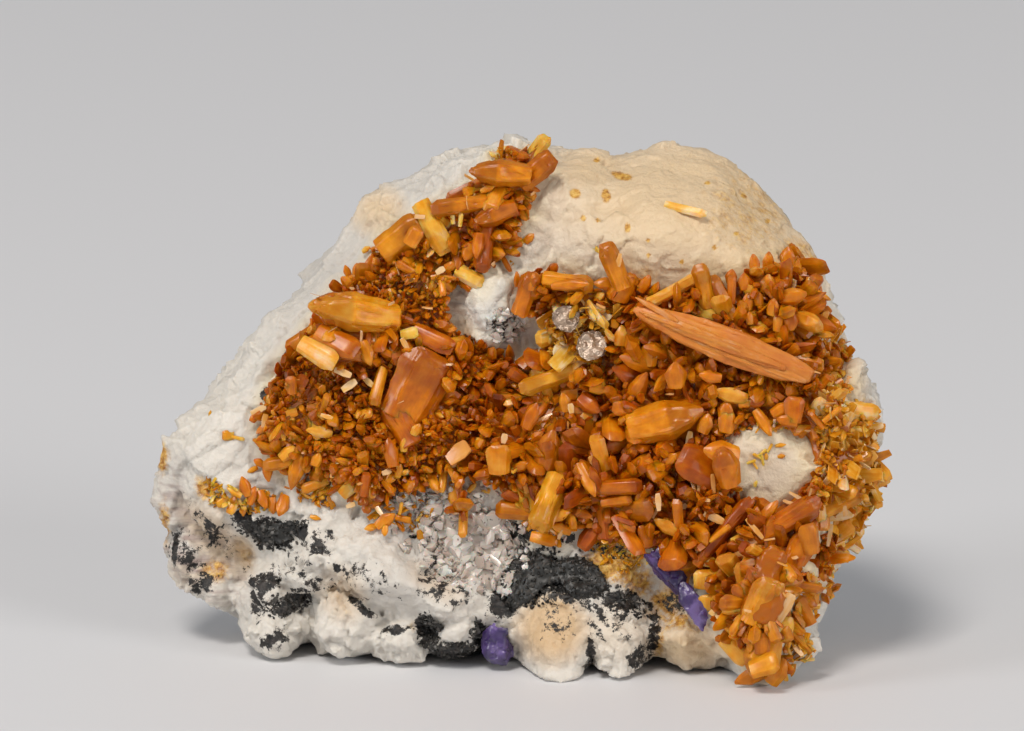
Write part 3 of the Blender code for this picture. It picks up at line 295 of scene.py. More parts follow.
    (9.7, 44.4, 2.8, 1.6, 175, "lozenge", 0.56, 0.30, 0.3),
    (24.6, 12.6, 3.2, 1.8, 95, "tablet", 0.60, 0.50, 0.5),
    (29.0, 9.1, 3.7, 2.0, 60, "plate", 0.90, 0.30, 1.1),
    (20.8, 12.2, 2.2, 3.7, 88, "tablet", 0.66, 0.60, 0.4),
    (20.1, 15.0, 2.4, 1.3, 120, "plate", 0.82, 0.70, 0.5),
    (21.0, 9.7, 1.8, 2.4, 100, "tablet", 0.70, 0.75, 0.2),
    (21.9, 8.1, 2.2, 1.0, -32, "plate", 0.92, 0.90, 0.5),
    (23.2, 7.0, 2.6, 1.3, -38, "prism", 0.60, 0.40, 0.3),
    (24.4, 10.3, 1.0, 1.3, 80, "lozenge", 0.60, 0.40, 0.8),
    (29.1, 7.0, 2.9, 2.6, 50, "lozenge", 0.72, 0.65, 0.5),
    (31.4, 11.7, 3.7, 1.5, -40, "prism", 0.60, 0.35, 0.1),
    (31.8, 9.7, 2.4, 1.8, -30, "lozenge", 0.52, 0.25, 0.0),
    (23.8, 4.4, 3.7, 2.4, -46, "tablet", 0.66, 0.55, 0.5),
    (26.9, 2.9, 3.3, 2.6, 20, "tablet", 0.58, 0.60, 0.5),
    (25.4, 1.5, 3.7, 2.2, 200, "lozenge", 0.50, 0.55, 0.2),
    (28.4, 2.2, 3.3, 2.4, 60, "lozenge", 0.56, 0.45, 0.2),
    (26.7, 5.3, 2.4, 2.0, 88, "tablet", 0.50, 0.25, 0.2),
    (27.2, 5.7, 1.9, 0.6, 88, "plate", 0.95, 0.60, 0.9),
    (26.2, 3.1, 1.0, 0.7, 60, "plate", 0.96, 0.50, 0.2),
    (30.7, 4.4, 1.5, 0.9, 130, "plate", 0.90, 0.30, 0.4),
    (23.9, 13.5, 1.3, 0.8, -25, "plate", 0.90, 0.40, 0.8),
    (24.9, 15.2, 3.7, 1.0, 18, "plate", 0.80, 0.30, 0.9),
    (22.1, 17.2, 2.9, 0.7, 38, "prism", 0.60, 0.30, 0.8),
)

# Crystals that lie alone on the bare stone, in the same sizes.
LONE_CRYSTALS = (
    (-20.3, 20.3, 0.9, 0.45, 120, "lozenge", 0.50, 0.50, 0.1),
    (-22.2, 18.7, 1.3, 0.6, -15, "lozenge", 0.58, 0.70, 0.2),
    (-24.1, 22.2, 0.9, 0.35, 160, "prism", 0.65, 0.60, 0.1),
    (-26.0, 21.3, 0.6, 0.3, 60, "lozenge", 0.60, 0.60, 0.1),
    (-25.9, 20.0, 2.6, 1.6, 250, "lozenge", 0.50, 0.30, 0.5),
    (-30.0, 22.2, 2.4, 1.3, 110, "lozenge", 0.46, 0.20, 0.5),
    (-29.2, 21.2, 2.2, 1.2, 70, "lozenge", 0.44, 0.20, 0.6),
    (-28.0, 20.7, 2.2, 1.3, 290, "lozenge", 0.48, 0.25, 0.5),
    (-31.2, 21.6, 1.9, 1.1, 150, "lozenge", 0.60, 0.75, 0.3),
    (-32.4, 20.5, 1.8, 1.0, 210, "tablet", 0.66, 0.85, 0.3),
    (-31.4, 19.9, 1.8, 1.1, 240, "tablet", 0.58, 0.75, 0.3),
    (-30.2, 19.6, 1.6, 1.0, 265, "lozenge", 0.46, 0.55, 0.3),
    (-27.0, 20.0, 1.9, 1.2, 275, "lozenge", 0.45, 0.30, 0.4),
    (-34.0, 22.8, 1.1, 0.7, 100, "tablet", 0.40, 0.80, 0.1),
    (-33.7, 21.4, 1.3, 0.6, 80, "tablet", 0.62, 0.85, 0.1),
    (-32.9, 20.4, 1.0, 0.5, 130, "tablet", 0.55, 0.85, 0.1),
    (-31.9, 27.8, 1.3, 1.3, 180, "tablet", 0.60, 0.70, 0.0),
    (-30.8, 27.5, 1.6, 0.5, -12, "prism", 0.70, 0.80, 0.0),
    (-33.9, 30.2, 0.8, 0.4, 80, "lozenge", 0.62, 0.70, 0.0),
    (-10.6, 16.9, 1.1, 1.0, 92, "tablet", 0.48, 0.85, 0.6),
    (-16.1, 17.7, 1.6, 0.9, 195, "lozenge", 0.62, 0.50, 0.9),
    (-14.4, 18.5, 2.6, 1.5, 35, "lozenge", 0.55, 0.35, 1.0),
    (-12.5, 18.6, 1.8, 0.9, -12, "prism", 0.56, 0.40, 0.9),
    (-12.8, 19.8, 1.4, 0.5, 80, "prism", 0.62, 0.50, 0.9),
    (-14.5, 17.3, 1.2, 0.9, 265, "lozenge", 0.58, 0.45, 0.9),
    (-15.3, 19.7, 2.0, 0.7, -55, "plate", 0.96, 0.50, 1.5),
    (28.8, 26.8, 1.3, 0.5, 8, "lozenge", 0.60, 0.60, 0.1),
    (27.6, 26.5, 1.1, 0.35, 60, "prism", 0.70, 0.80, 0.1),
    (26.8, 26.0, 1.2, 0.35, 40, "prism", 0.72, 0.85, 0.1),
    (26.2, 25.6, 1.1, 0.35, 150, "prism", 0.75, 0.90, 0.1),
    (26.8, 25.2, 1.3, 0.35, 100, "prism", 0.74, 0.90, 0.1),
    (25.6, 25.0, 1.1, 0.4, 20, "prism", 0.78, 0.90, 0.1),
    (26.0, 24.6, 1.0, 0.35, 120, "prism", 0.70, 0.90, 0.1),
    (27.2, 25.6, 0.8, 0.5, 90, "lozenge", 0.60, 0.60, 0.1),
    (28.9, 25.6, 0.9, 0.6, 10, "lozenge", 0.58, 0.60, 0.1),
    (24.3, 21.9, 0.9, 0.5, 0, "lozenge", 0.62, 0.65, 0.1),
    (26.1, 22.6, 0.8, 0.5, 70, "lozenge", 0.85, 0.80, 0.0),
    (18.5, 52.6, 5.0, 1.15, -14, "prism", 0.85, 0.55, 0.5),
)

# Black specks and clots on the stone, as ovals with soft edges: across, up, half width, half height,
# turn, strength.
BLACK = (
    (-27.3, 17.0, 3.2, 2.2, -8, 1.0),
    (-30.5, 18.7, 1.5, 1.7, -40, 0.95),
    (-24.0, 17.3, 1.5, 1.5, -50, 0.85),
    (-22.2, 15.8, 3.0, 2.8, 0, 0.52),
    (-27.9, 11.4, 2.6, 1.6, 15, 0.80),
    (-28.6, 9.4, 1.5, 2.6, 0, 0.70),
    (-25.2, 9.0, 3.0, 1.5, 20, 0.88),
    (-27.0, 5.0, 3.0, 1.6, 30, 0.66),
    (-24.8, 13.4, 3.2, 2.4, 0, 0.50),
    (-22.0, 11.4, 3.6, 1.6, 12, 0.50),
    (-38.0, 15.0, 0.45, 2.8, -4, 1.0),
    (-36.6, 14.6, 3.6, 3.0, -50, 0.55),
    (-33.4, 17.0, 6.0, 1.6, -48, 0.52),
    (-35.0, 11.4, 2.6, 1.6, 20, 0.66),
    (-19.8, 13.2, 0.5, 0.8, 10, 1.0),
    (-27.6, 32.4, 1.2, 0.8, 30, 0.95),
    (-24.6, 37.8, 1.7, 0.7, 48, 0.95),
    (-1.2, 39.8, 2.6, 2.4, 0, 0.62),
    (-17.4, 9.0, 2.4, 0.7, -35, 0.85),
    (-13.6, 6.4, 2.2, 0.8, 10, 0.80),
    (-16.4, 12.0, 5.0, 3.0, -20, 0.42),
    (-9.4, 10.8, 3.0, 2.4, -40, 0.55),
    (-7.4, 12.6, 6.0, 4.4, -40, 0.50),
    (-9.8, 6.0, 1.5, 2.6, 20, 0.95),
    (-7.0, 3.9, 3.6, 1.5, 0, 0.95),
    (-4.0, 5.6, 1.2, 2.2, 0, 0.95),
    (-11.2, 17.0, 1.0, 0.9, 0, 0.70),
    (-8.6, 17.2, 1.9, 1.4, 10, 0.82),
    (-4.6, 17.8, 1.1, 0.9, 0, 0.85),
    (-1.2, 19.4, 1.4, 1.2, 30, 0.85),
    (0.6, 17.2, 2.2, 2.6, -20, 0.85),
    (4.6, 16.6, 2.2, 1.2, 0, 0.80),
    (1.4, 12.4, 4.0, 3.6, 0, 0.90),
    (4.6, 11.4, 1.4, 3.4, 40, 0.85),
    (-1.6, 9.2, 2.6, 2.2, 20, 0.86),
    (8.4, 8.8, 3.4, 1.0, -35, 0.75),
    (11.6, 9.6, 3.6, 1.8, -20, 0.72),
    (15.0, 6.0, 1.0, 4.0, -8, 0.85),
    (13.4, 3.6, 1.6, 2.0, -50, 0.75),
    (8.1, 4.0, 0.7, 3.0, 0, 0.85),
    (10.4, 7.0, 3.6, 2.6, 0, 0.45),
    (11.8, 16.2, 2.6, 1.6, -10, 0.60),
    (8.6, 15.6, 2.0, 1.4, 20, 0.62),
    (4.2, 7.6, 3.4, 3.2, 0, 0.36),
    (17.4, 9.4, 2.0, 1.8, 0, 0.55),
)

# Iron stain, yellow to brown, in the same sizes.
IRON = (
    (-34.8, 21.8, 1.2, 2.0, 20, 0.75),
    (-31.8, 27.8, 1.6, 1.0, 0, 0.35),
    (-39.4, 25.4, 1.2, 2.4, 0, 0.85),
    (-39.2, 18.0, 1.0, 3.4, 0, 0.70),
    (-32.0, 20.4, 2.4, 1.8, 20, 0.45),
    (-33.6, 12.6, 2.2, 1.8, 0, 0.70),
    (-30.4, 14.6, 1.4, 2.4, 30, 0.40),
    (-18.6, 10.8, 3.0, 3.4, 0, 0.30),
    (10.6, 14.0, 4.4, 3.2, -10, 0.95),
    (13.0, 12.0, 3.4, 2.4, -40, 0.75),
    (16.2, 9.0, 2.8, 3.4, 0, 0.75),
    (18.4, 7.4, 3.4, 1.3, -15, 0.70),
    (15.4, 5.4, 1.0, 3.4, 0, 0.70),
    (26.0, 53.0, 7.0, 8.0, -40, 0.46),
    (31.0, 47.0, 4.0, 4.0, 0, 0.55),
    (6.4, 54.4, 0.77, 0.7, 0, 1.1),
    (9.8, 54.2, 0.7, 0.98, 0, 1.1),
    (8.8, 58.2, 0.49, 0.35, 0, 1.1),
    (11.6, 56.4, 1.5, 0.6, -15, 1.1),
    (7.3, 51.6, 0.42, 0.49, 0, 1.1),
    (8.8, 51.4, 0.4, 0.4, 0, 1.1),
    (12.1, 50.6, 0.42, 0.7, 0, 1.1),
    (14.3, 49.2, 0.35, 0.28, 0, 1.1),
    (14.4, 47.6, 0.35, 0.35, 0, 1.1),
    (18.0, 46.8, 0.35, 0.35, 0, 1.1),
    (21.6, 48.4, 0.42, 0.35, 0, 1.1),
    (24.0, 50.0, 0.42, 0.35, 0, 1.1),
    (27.6, 51.4, 0.42, 0.35, 0, 1.1),
    (25.0, 54.2, 0.35, 0.35, 0, 1.1),
    (21.0, 55.6, 0.42, 0.28, 0, 1.1),
    (14.2, 45.6, 3.4, 1.6, 10, 0.45),
    (33.0, 47.6, 2.4, 2.6, -40, 0.55),
    (37.4, 26.0, 3.4, 9.0, 0, 0.60),
    (34.6, 37.6, 2.0, 3.4, 0, 0.40),
    (37.6, 18.4, 2.6, 3.0, 30, 0.80),
    (26.4, 25.2, 2.0, 1.4, 0, 0.40),
    (31.0, 25.4, 0.8, 1.0, 0, 0.45),
    (1.0, 18.4, 2.0, 1.2, 0, 0.45),
    (3.6, 6.4, 2.4, 2.0, 0, 0.25),
    (-11.4, 6.8, 3.0, 1.0, 0, 0.35),
)

# Greyish, glassy feldspar and quartz, in the same sizes.
GREYISH = (
    (-20.0, 45.5, 12.0, 5.5, 50, 0.45),
    (-12.6, 56.0, 8.0, 3.6, 20, 0.35),
    (-1.4, 41.0, 3.4, 4.4, -20, 0.25),
    (-5.8, 17.0, 9.5, 6.0, -20, 1.0),
    (-12.6, 20.4, 4.0, 2.2, -20, 0.9),
    (-1.4, 23.6, 5.0, 3.0, 0, 0.9),
    (6.4, 20.0, 3.0, 3.0, 0, 0.5),
    (-36.0, 17.0, 5.0, 4.0, -45, 0.55),
    (-12.0, 10.8, 8.0, 4.4, -25, 0.25),
    (4.0, 15.6, 8.0, 4.0, 0, 0.7),
)

# Flesh-coloured to peach feldspar, in the same sizes.
PEACH = (
    (3.8, 6.8, 4.6, 4.6, 0, 1.1),
    (4.0, 7.2, 2.6, 2.8, 0, 3.0),
    (-30.6, 14.8, 1.5, 2.4, 25, 0.8),
    (-33.6, 16.4, 6.4, 2.6, -48, 0.62),
    (-36.0, 12.6, 3.4, 2.4, 0, 0.35),
    (-19.2, 10.2, 3.0, 3.6, 20, 0.45),
    (-8.8, 11.6, 4.0, 2.0, -30, 0.35),
    (-6.6, 15.4, 3.4, 3.0, 0, 0.35),
    (28.0, 24.4, 5.0, 5.0, 0, 0.2),
    (17.4, 10.4, 1.7, 2.2, 30, 0.8),
    (24.0, 33.0, 3.0, 3.0, 0, 0.3),
)

# Where the druse differs: across, up, half width, half height, turn, then its crystals' size, tone
# and gold there, and how much of it is broken to shards.
DRUSE_ZONES = (
    (-22.0, 30.0, 9.0, 9.0, 0, 0.62, 0.45, 0.32, 0.0),
    (-15.0, 27.0, 12.0, 5.0, 0, 0.66, 0.48, 0.30, 0.0),
    (-12.0, 45.0, 6.0, 5.5, 30, 0.40, 0.45, 0.35, 0.15),
    (-16.8, 33.6, 3.6, 2.2, 0, 0.6, 0.0, 0.35, 0.0),
    (-24.0, 33.4, 2.4, 2.6, 0, 0.6, 0.05, 0.35, 0.0),
    (-2.0, 53.0, 6.0, 7.0, 60, 0.80, 0.45, 0.30, 0.0),
    (-3.0, 59.0, 2.6, 1.6, 0, 0.45, 0.85, 0.85, 0.5),
    (7.4, 39.0, 4.4, 4.4, 0, 0.80, 0.84, 0.75, 0.75),
    (0.0, 30.0, 8.0, 6.0, 0, 1.00, 0.42, 0.22, 0.0),
    (12.0, 26.0, 9.0, 9.0, 0, 1.15, 0.40, 0.20, 0.0),
    (16.0, 36.0, 8.0, 6.0, 0, 1.20, 0.38, 0.22, 0.0),
    (28.0, 42.0, 8.0, 6.0, 0, 1.15, 0.48, 0.25, 0.0),
    (36.6, 27.0, 4.4, 10.5, 0, 0.78, 0.74, 0.55, 0.75),
    (24.0, 17.0, 9.0, 8.0, 0, 1.05, 0.40, 0.20, 0.0),
    (27.0, 7.0, 6.0, 8.0, 0, 0.95, 0.52, 0.45, 0.1),
    (4.4, 17.6, 3.6, 2.6, 0, 0.50, 0.50, 0.45, 0.1),
    (11.6, 15.6, 3.6, 1.6, 0, 0.40, 0.60, 0.70, 0.3),
)
DRUSE_ELSEWHERE = (0.85, 0.44, 0.25, 0.0)
# Crystals further across than this are in the right piece of the druse.
DRUSE_SPLIT = 6.0

# Generations of the druse, the larger first: size, least spacing of roots, how far they stand out
# of the crust, and a change of tone that is painted shade: the smaller crystals, which sit deeper
# among the larger, are darker, and the largest are lighter.
DRUSE_GENERATIONS = (
    (1.5, 1.55, 0.20, 0.06),
    (1.1, 0.98, 0.18, 0.0),
    (0.7, 0.62, 0.16, -0.08),
)

# Small crystals strewn on the stone: across, up, half width, half height, turn, how many, size, tone,
# gold, share of shards.
STREWN = (
    (37.6, 21.0, 2.8, 10.0, 0, 460, 0.8, 0.72, 0.5, 0.6),
    (34.6, 35.5, 2.0, 5.0, 0, 110, 0.7, 0.55, 0.4, 0.3),
    (33.6, 12.0, 1.8, 5.0, -20, 90, 0.7, 0.60, 0.5, 0.3),
    (30.6, 3.6, 1.8, 3.0, -20, 60, 0.6, 0.70, 0.6, 0.5),
    (-29.4, 20.6, 4.4, 1.5, -12, 150, 0.32, 0.55, 0.85, 0.2),
    (-33.6, 21.6, 0.9, 1.8, 20, 40, 0.28, 0.55, 0.95, 0.2),
    (-22.6, 21.6, 3.0, 1.6, -20, 60, 0.4, 0.55, 0.55, 0.1),
    (-12.6, 19.6, 3.6, 2.0, 0, 60, 0.4, 0.55, 0.55, 0.1),
    (11.6, 15.0, 4.0, 2.2, -10, 150, 0.3, 0.60, 0.85, 0.3),
    (28.4, 29.0, 4.4, 0.9, 0, 40, 0.4, 0.60, 0.6, 0.2),
)

# The crystals of a fan spread from one point under the crust: least spacing of fans, and its depth.
FAN_SPACING = 4.2
FAN_DEPTH = 2.6

# Cream feldspar, in the sizes of the black ovals.
CREAM = (
    (20.0, 53.5, 22.0, 11.5, 0, 1.0),
    (9.0, 57.0, 8.0, 5.0, 0, 0.9),
    (26.0, 47.0, 12.0, 6.0, 0, 1.0),
    (-15.4, 52.6, 3.6, 3.4, 0, 0.8),
    (-13.6, 44.6, 3.0, 3.0, 0, 0.7),
    (18.8, 4.6, 5.4, 3.4, 0, 0.95),
    (33.6, 13.6, 3.0, 4.0, 0, 0.7),
    (36.0, 34.0, 3.0, 6.0, 0, 0.7),
    (28.0, 24.8, 7.0, 7.0, 0, 0.4),
    (10.8, 6.2, 4.4, 3.6, 0, 0.3),
)

# Where the stone is smoother than its broken parts, in the same sizes.
SMOOTH = (
    (19.0, 52.0, 22.0, 13.0, 0, 0.72),
    (-20.0, 46.0, 9.0, 6.0, 50, 0.7),
    (-33.0, 26.0, 6.0, 6.0, 30, 0.6),
    (-12.0, 10.8, 7.0, 4.2, -25, 0.7),
    (28.0, 24.2, 5.0, 4.6, 0, 0.8),
    (3.8, 6.6, 4.0, 4.0, 0, 0.6),
)

# Blocks and lobes that stand out of the stone: across, up, out, half width, half height, half depth
# and turn.
LOBES = (
    (-26.8, 8.4, -16.0, 4.0, 5.6, 5.0, 10),
    (-27.2, 5.6, -14.4, 3.4, 3.0, 4.0, 0),
    (-35.0, 14.8, -20.0, 4.8, 5.8, 4.4, 25),
    (-31.6, 11.2, -19.5, 4.0, 3.4, 4.4, 0),
    (-22.6, 12.6, -14.0, 4.0, 3.2, 4.0, -20),
    (-13.4, 11.0, -10.2, 6.2, 4.4, 6.0, -25),
    (-17.4, 15.5, -9.8, 2.6, 2.0, 2.6, 0),
    (-18.6, 6.8, -13.0, 4.8, 3.6, 5.0, 10),
    (-37.8, 20.4, -19.4, 2.6, 4.6, 4.0, 5),
    (-6.8, 6.7, -8.8, 2.3, 1.7, 2.6, 0),
    (28.2, 24.8, -4.8, 7.4, 7.6, 3.5, 0),
    (-3.0, 42.4, -8.6, 3.6, 5.4, 3.6, -15),
    (-12.6, 5.4, -12.4, 4.4, 2.8, 4.6, 0),
    (-7.4, 5.6, -11.0, 3.4, 2.2, 4.0, 10),
    (4.0, 6.8, -10.0, 4.3, 4.4, 6.0, 0),
    (4.2, 2.2, -9.4, 3.8, 1.7, 5.2, 0),
    (11.3, 4.9, -10.0, 3.7, 4.0, 5.6, -8),
    (18.8, 5.1, -9.0, 4.2, 2.7, 6.0, 0),
    (37.2, 34.0, -10.0, 1.8, 2.4, 3.4, 10),
    (38.8, 28.5, -9.4, 1.5, 2.0, 3.2, 0),
    (31.3, 4.6, -5.0, 1.7, 1.9, 3.0, 0),
    (30.6, 12.8, -4.2, 2.6, 2.2, 3.0, 20),
)

# Slanting ledges, fine cleavage lines and the streaked side face, as ovals.
LEDGES = ((-20.0, 45.5, 13.0, 6.0, 50, 1.0), (-34.0, 25.0, 5.0, 7.0, 40, 0.6))
CLEAVED = ((4.5, 49.6, 6.0, 3.8, 0, 1.0), (27.0, 26.0, 4.0, 2.0, 0, 0.6))
STREAKED = ((-35.4, 14.6, 8.0, 4.2, -48, 1.0), (-38.6, 18.0, 2.0, 8.0, 0, 0.8))

# A small crystal or grain: its points, its triangles and how near each point is to its rim.
Shape = namedtuple("Shape", "points faces rim")


def linear(colour):
    """A colour given as an sRGB hex value, as linear red, green and blue."""
    shares = [int(colour[i:i + 2], 16) / 255 for i in (1, 3, 5)]
    return [s / 12.92 if s <= 0.04045 else ((s + 0.055) / 1.055) ** 2.4 for s in shares]


def shade(name, description, colour):
    """A colour property of the panel, from its sRGB hex value."""
    return FloatVectorProperty(
        name=name, description=description, default=linear(colour), subtype="COLOR", min=0.0, max=1.0
    )


def length(name, description, millimetres):
    """A length property of the panel."""
    return FloatProperty(name=name, description=description, default=millimetres * MM, unit="LENGTH")


class SpecimenSizes(bpy.types.PropertyGroup):
    """Sizes of the specimen's finish."""

    stone_grain: length("Stone grain", "Step of the stone's mesh at its sides and back", 0.58)
    bed_grain: length("Bed grain", "Step of the mesh of the crust under its crystals", 0.4)
    druse_length: length("Druse crystal", "Length of a common crystal of the druse", 2.6)
    druse_width: length("Druse crystal width", "Width of a common crystal of the druse", 1.12)


class SpecimenColours(bpy.types.PropertyGroup):
    """Colours of the specimen's minerals."""

    white: shade("White feldspar", "The clean broken feldspar", "#D8D2C8")
    cream: shade("Cream feldspar", "The dome and its margins", "#D9C09C")
    grey: shade("Grey feldspar", "Its translucent parts", "#B4B0AC")
    peach: shade("Peach feldspar", "Its flesh-coloured parts", "#CDB08A")
    deep: shade("Deep eosphorite", "Thick or shaded eosphorite", "#6A1E00")
    orange: shade("Orange eosphorite", "The druse's common colour", "#E28000")
    golden: shade("Golden eosphorite", "The clearer yellow crystals", "#F0AE1C")
    purple: shade("Apatite", "The purple crystals", "#463468")
    floor: shade("Floor", "The plain pale floor", "#DEDFE2")


def node(tree, kind, inputs=(), **settings):
    """Adds a shader node, with its settings, and links or sets its inputs."""
    added = tree.nodes.new("ShaderNode" + kind)
    for name, value in settings.items():
        if name == "stops":
            while len(added.color_ramp.elements) < len(value):
                added.color_ramp.elements.new(0.5)
            for element, (place, colour) in zip(added.color_ramp.elements, value):
                element.position = place
                element.color = (*colour, 1.0)
        else:
            setattr(added, name, value)
    for socket, value in dict(inputs).items():
        if isinstance(value, bpy.types.NodeSocket):
            tree.links.new(value, added.inputs[socket])
        else:
            added.inputs[socket].default_value = value
    return added


def new_material(name, values):
    """A material with only its output and a Principled shader, whose uniform values are set."""
    material = bpy.data.materials.new(name)
    material.use_nodes = True
    surface = material.node_tree.nodes["Principled BSDF"]
    for socket, value in values.items():
        surface.inputs[socket].default_value = value
    return material, material.node_tree, surface


def linked(name, data):
    """An object of the scene, at the origin."""
    obj = bpy.data.objects.new(name, data)
    bpy.context.scene.collection.objects.link(obj)
    return obj


def kept_mesh(name, bm):
    """A mesh from a bmesh, which is freed."""
    mesh = bpy.data.meshes.new(name)
    bm.to_mesh(mesh)
    bm.free()
    return mesh


def any_way(rng, spread=1.0):
    """A vector with a random part along each axis."""
    return Vector([rng.gauss(0, spread) for _ in range(3)])


def hulled(bm):
    """Closes the vertices of a bmesh in their convex hull, and drops those inside it."""
    bmesh.ops.convex_hull(bm, input=bm.verts)
    bmesh.ops.delete(bm, geom=[v for v in bm.verts if not v.link_faces], context="VERTS")


def bevelled(bm, offset):
    """Cuts every edge of a small shape."""
    bmesh.ops.bevel(
        bm,
        geom=bm.edges,
        offset=offset,
        offset_type="OFFSET",
        affect="EDGES",
        segments=1,
        profile=0.5,
        material=-1,
        clamp_overlap=True,
    )


def divided(bm, longest):
    """Makes a mesh triangles, and halves those of its edges that are too long up to three times."""
    bmesh.ops.triangulate(bm, faces=bm.faces)
    for _ in range(3):
        long_edges = [e for e in bm.edges if e.calc_length() > longest]
        if long_edges:
            bmesh.ops.subdivide_edges(bm, edges=long_edges, cuts=1)
            bmesh.ops.triangulate(bm, faces=bm.faces)


def covering(spots, across, up):
    """How strongly soft-edged ovals cover places, from 0 to 1."""
    most = np.zeros(np.shape(across))
    for x, y, half_width, half_height, turn, strength in spots:
        c, s = math.cos(math.radians(turn)), math.sin(math.radians(turn))
        along = ((across - x) * c + (up - y) * s) / half_width
        aside = ((up - y) * c - (across - x) * s) / half_height
        reach = along**2 + aside**2
        most = np.maximum(most, np.clip(strength * (1.15 - reach), 0.0, 1.0))
    return most


def merged_copy(node_name, grain, lobes=()):
    """A CAD node's shape as an even mesh of a grain in metres, seen as it is faced, in millimetres.

    Lobes are grown together with it.
    """
    bm = bmesh.new()
    bm.from_mesh(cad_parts[node_name].data)
    bmesh.ops.remove_doubles(bm, verts=bm.verts, dist=1e-6)
    for lobe in lobes:
        bm.from_mesh(lobe)
    obj = linked("merged", kept_mesh("merged", bm))
    remesh = obj.modifiers.new("even", "REMESH")
    remesh.mode = "VOXEL"
    remesh.voxel_size = grain
    evaluated = obj.evaluated_get(bpy.context.evaluated_depsgraph_get())
    bm = bmesh.new()
    bm.from_mesh(evaluated.to_mesh())
    bpy.data.objects.remove(obj)
    bm.transform(FACED)
    return bm


# A block is the hull of this many points, and none is lower than this over the floor.
BLOCK_POINTS = 30
BLOCK_FOOT = 0.35


def broken_block(across, up, out, half_width, half_height, half_depth, turn, rng):
    """A closed angular block that stands clear of the floor, as a mesh in the frame."""
    bm = bmesh.new()
    turned = Matrix.Rotation(math.radians(turn), 4, "Z")
    for _ in range(BLOCK_POINTS):
        way = any_way(rng).normalized()
        place = turned @ Vector((way.x * half_width, way.y * half_height, way.z * half_depth))
        place = STAND @ (place + Vector((across, up, out)))
        place.z = max(place.z, BLOCK_FOOT * MM)
        bm.verts.new(place)
    hulled(bm)
    return kept_mesh("block", bm)


def smoothed(bm, verts, times):
    """Evens out some vertices of a mesh several times."""
    for _ in range(times):
        bmesh.ops.smooth_vert(
            bm, verts=verts, factor=0.5, use_axis_x=True, use_axis_y=True, use_axis_z=True
        )


def piece(name, mesh, material, replaced=()):
    """An object of the specimen, from a mesh that is in the frame."""
    obj = linked(name, mesh)
    mesh.materials.append(material)
    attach(obj, "root")
    if replaced:
        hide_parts(*replaced)
    return obj


def from_bmesh(name, bm, sharp=180.0):
    """A mesh in the frame from a bmesh in the faced view, with edges sharp past an angle."""
    bm.transform(STAND)
    for v in bm.verts:
        v.co.z = max(v.co.z, 0.0)
    mesh = kept_mesh(name, bm)
    mesh.shade_smooth()
    mesh.set_sharp_from_angle(angle=math.radians(sharp))
    return mesh


def paint(mesh, name, rows):
    """Keeps four values for each vertex of a mesh, for its material to read."""
    layer = mesh.attributes.new(name, "FLOAT_COLOR", "POINT")
    layer.data.foreach_set("color", np.array(rows, np.float32).ravel())


class Ground:
    """The surface of some pieces, felt from the front of the faced view."""

    # Rays start this far out, and a place where they miss is taken to lie this far out.
    START = 60.0
    MISSED = -10.0

    def __init__(self, *names):
        points, faces = [], []
        for name in names:
            mesh = bpy.data.objects[name].data
            first = len(points)
            points += [FACED @ v.co for v in mesh.vertices]
            faces += [[first + i for i in p.vertices] for p in mesh.polygons]
        self.tree = BVHTree.FromPolygons(points, faces)

    def out(self, across, up, missing=MISSED):
        """How far out the surface is at a place."""
        place = self.tree.ray_cast(Vector((across, up, self.START)), Vector((0, 0, -1)))[0]
        return missing if place is None else place.z

    def covers(self, point):
        """Whether the surface lies in front of a point."""
        return self.tree.ray_cast(point + Vector((0, 0, 0.1)), Vector((0, 0, 1)))[0] is not None

    def nearness(self, point, reach):
        """From 1 where a point touches the surface to 0 at a reach."""
        distance = self.tree.find_nearest(point, reach)[3]
        return 0.0 if distance is None else 1.0 - distance / reach


# Facets of the broken stone: their size, and how steeply they tilt.
FACETS = ((4.6, 1.8), (1.9, 1.0), (0.8, 0.34))
BACK_FACETS = (8.5, 3.4)
# The large facets of the back begin this far out, and are full this much further back.
BACK_STARTS = -16.0
BACK_BLEND = 6.0
# How far apart the ledges are, and how deep.
LEDGE_STEP = 2.6
LEDGE_DEPTH = 0.42
# The raised lip near the top of the dome: its lower edge, middle across, half width and height.
LIP_EDGE = 53.1
LIP_MIDDLE = 7.5
LIP_HALF_WIDTH = 5.5
LIP_HEIGHT = 0.4


def facet(point, size, seed):
    """How high a point lies on the tilted facet that its cell makes."""
    cell = noise.voronoi(point / size)[1][0]
    return (point / size - cell).dot(noise.noise_vector(cell * seed))


def stone_relief(point, smooth, ledges, cleaved, streaked):
    """How far the stone's surface is raised at a point of the faced view, in millimetres."""
    across, up, out = point
    raised = 0.30 * noise.noise(point / 4.0)
    behind = min(1.0, max(0.0, (BACK_STARTS - out) / BACK_BLEND))
    size, share = BACK_FACETS
    raised += behind * share * facet(point, size, 5.0)
    for size, share in FACETS:
        raised += (1.0 - 0.9 * smooth) * facet(point, size, 7.0) * share
    raised += (1.0 - 0.7 * smooth) * 0.16 * noise.fractal(point / 0.9, 1.0, 2.0, 3)
    # The ledges run up to the right, and the streaks of the side face down to the right.
    step = (up * 0.78 - across * 0.62) / LEDGE_STEP + 0.5 * noise.noise(point / 5.0)
    raised -= ledges * LEDGE_DEPTH * (step % 1.0) ** 2
    raised += cleaved * 0.05 * noise.noise(Vector((across / 6.0, up / 0.2, 0)))
    along = Vector((across * 0.66 - up * 0.75, (across * 0.75 + up * 0.66) * 7.0, 0)) / 4.0
    raised += streaked * 0.16 * noise.noise(along)
    rise = min(1.0, max(0.0, (up - LIP_EDGE - 0.3 * noise.noise(point / 2.0)) / 0.5))
    return raised + LIP_HEIGHT * rise * max(0.0, 1.0 - ((across - LIP_MIDDLE) / LIP_HALF_WIDTH) ** 2)


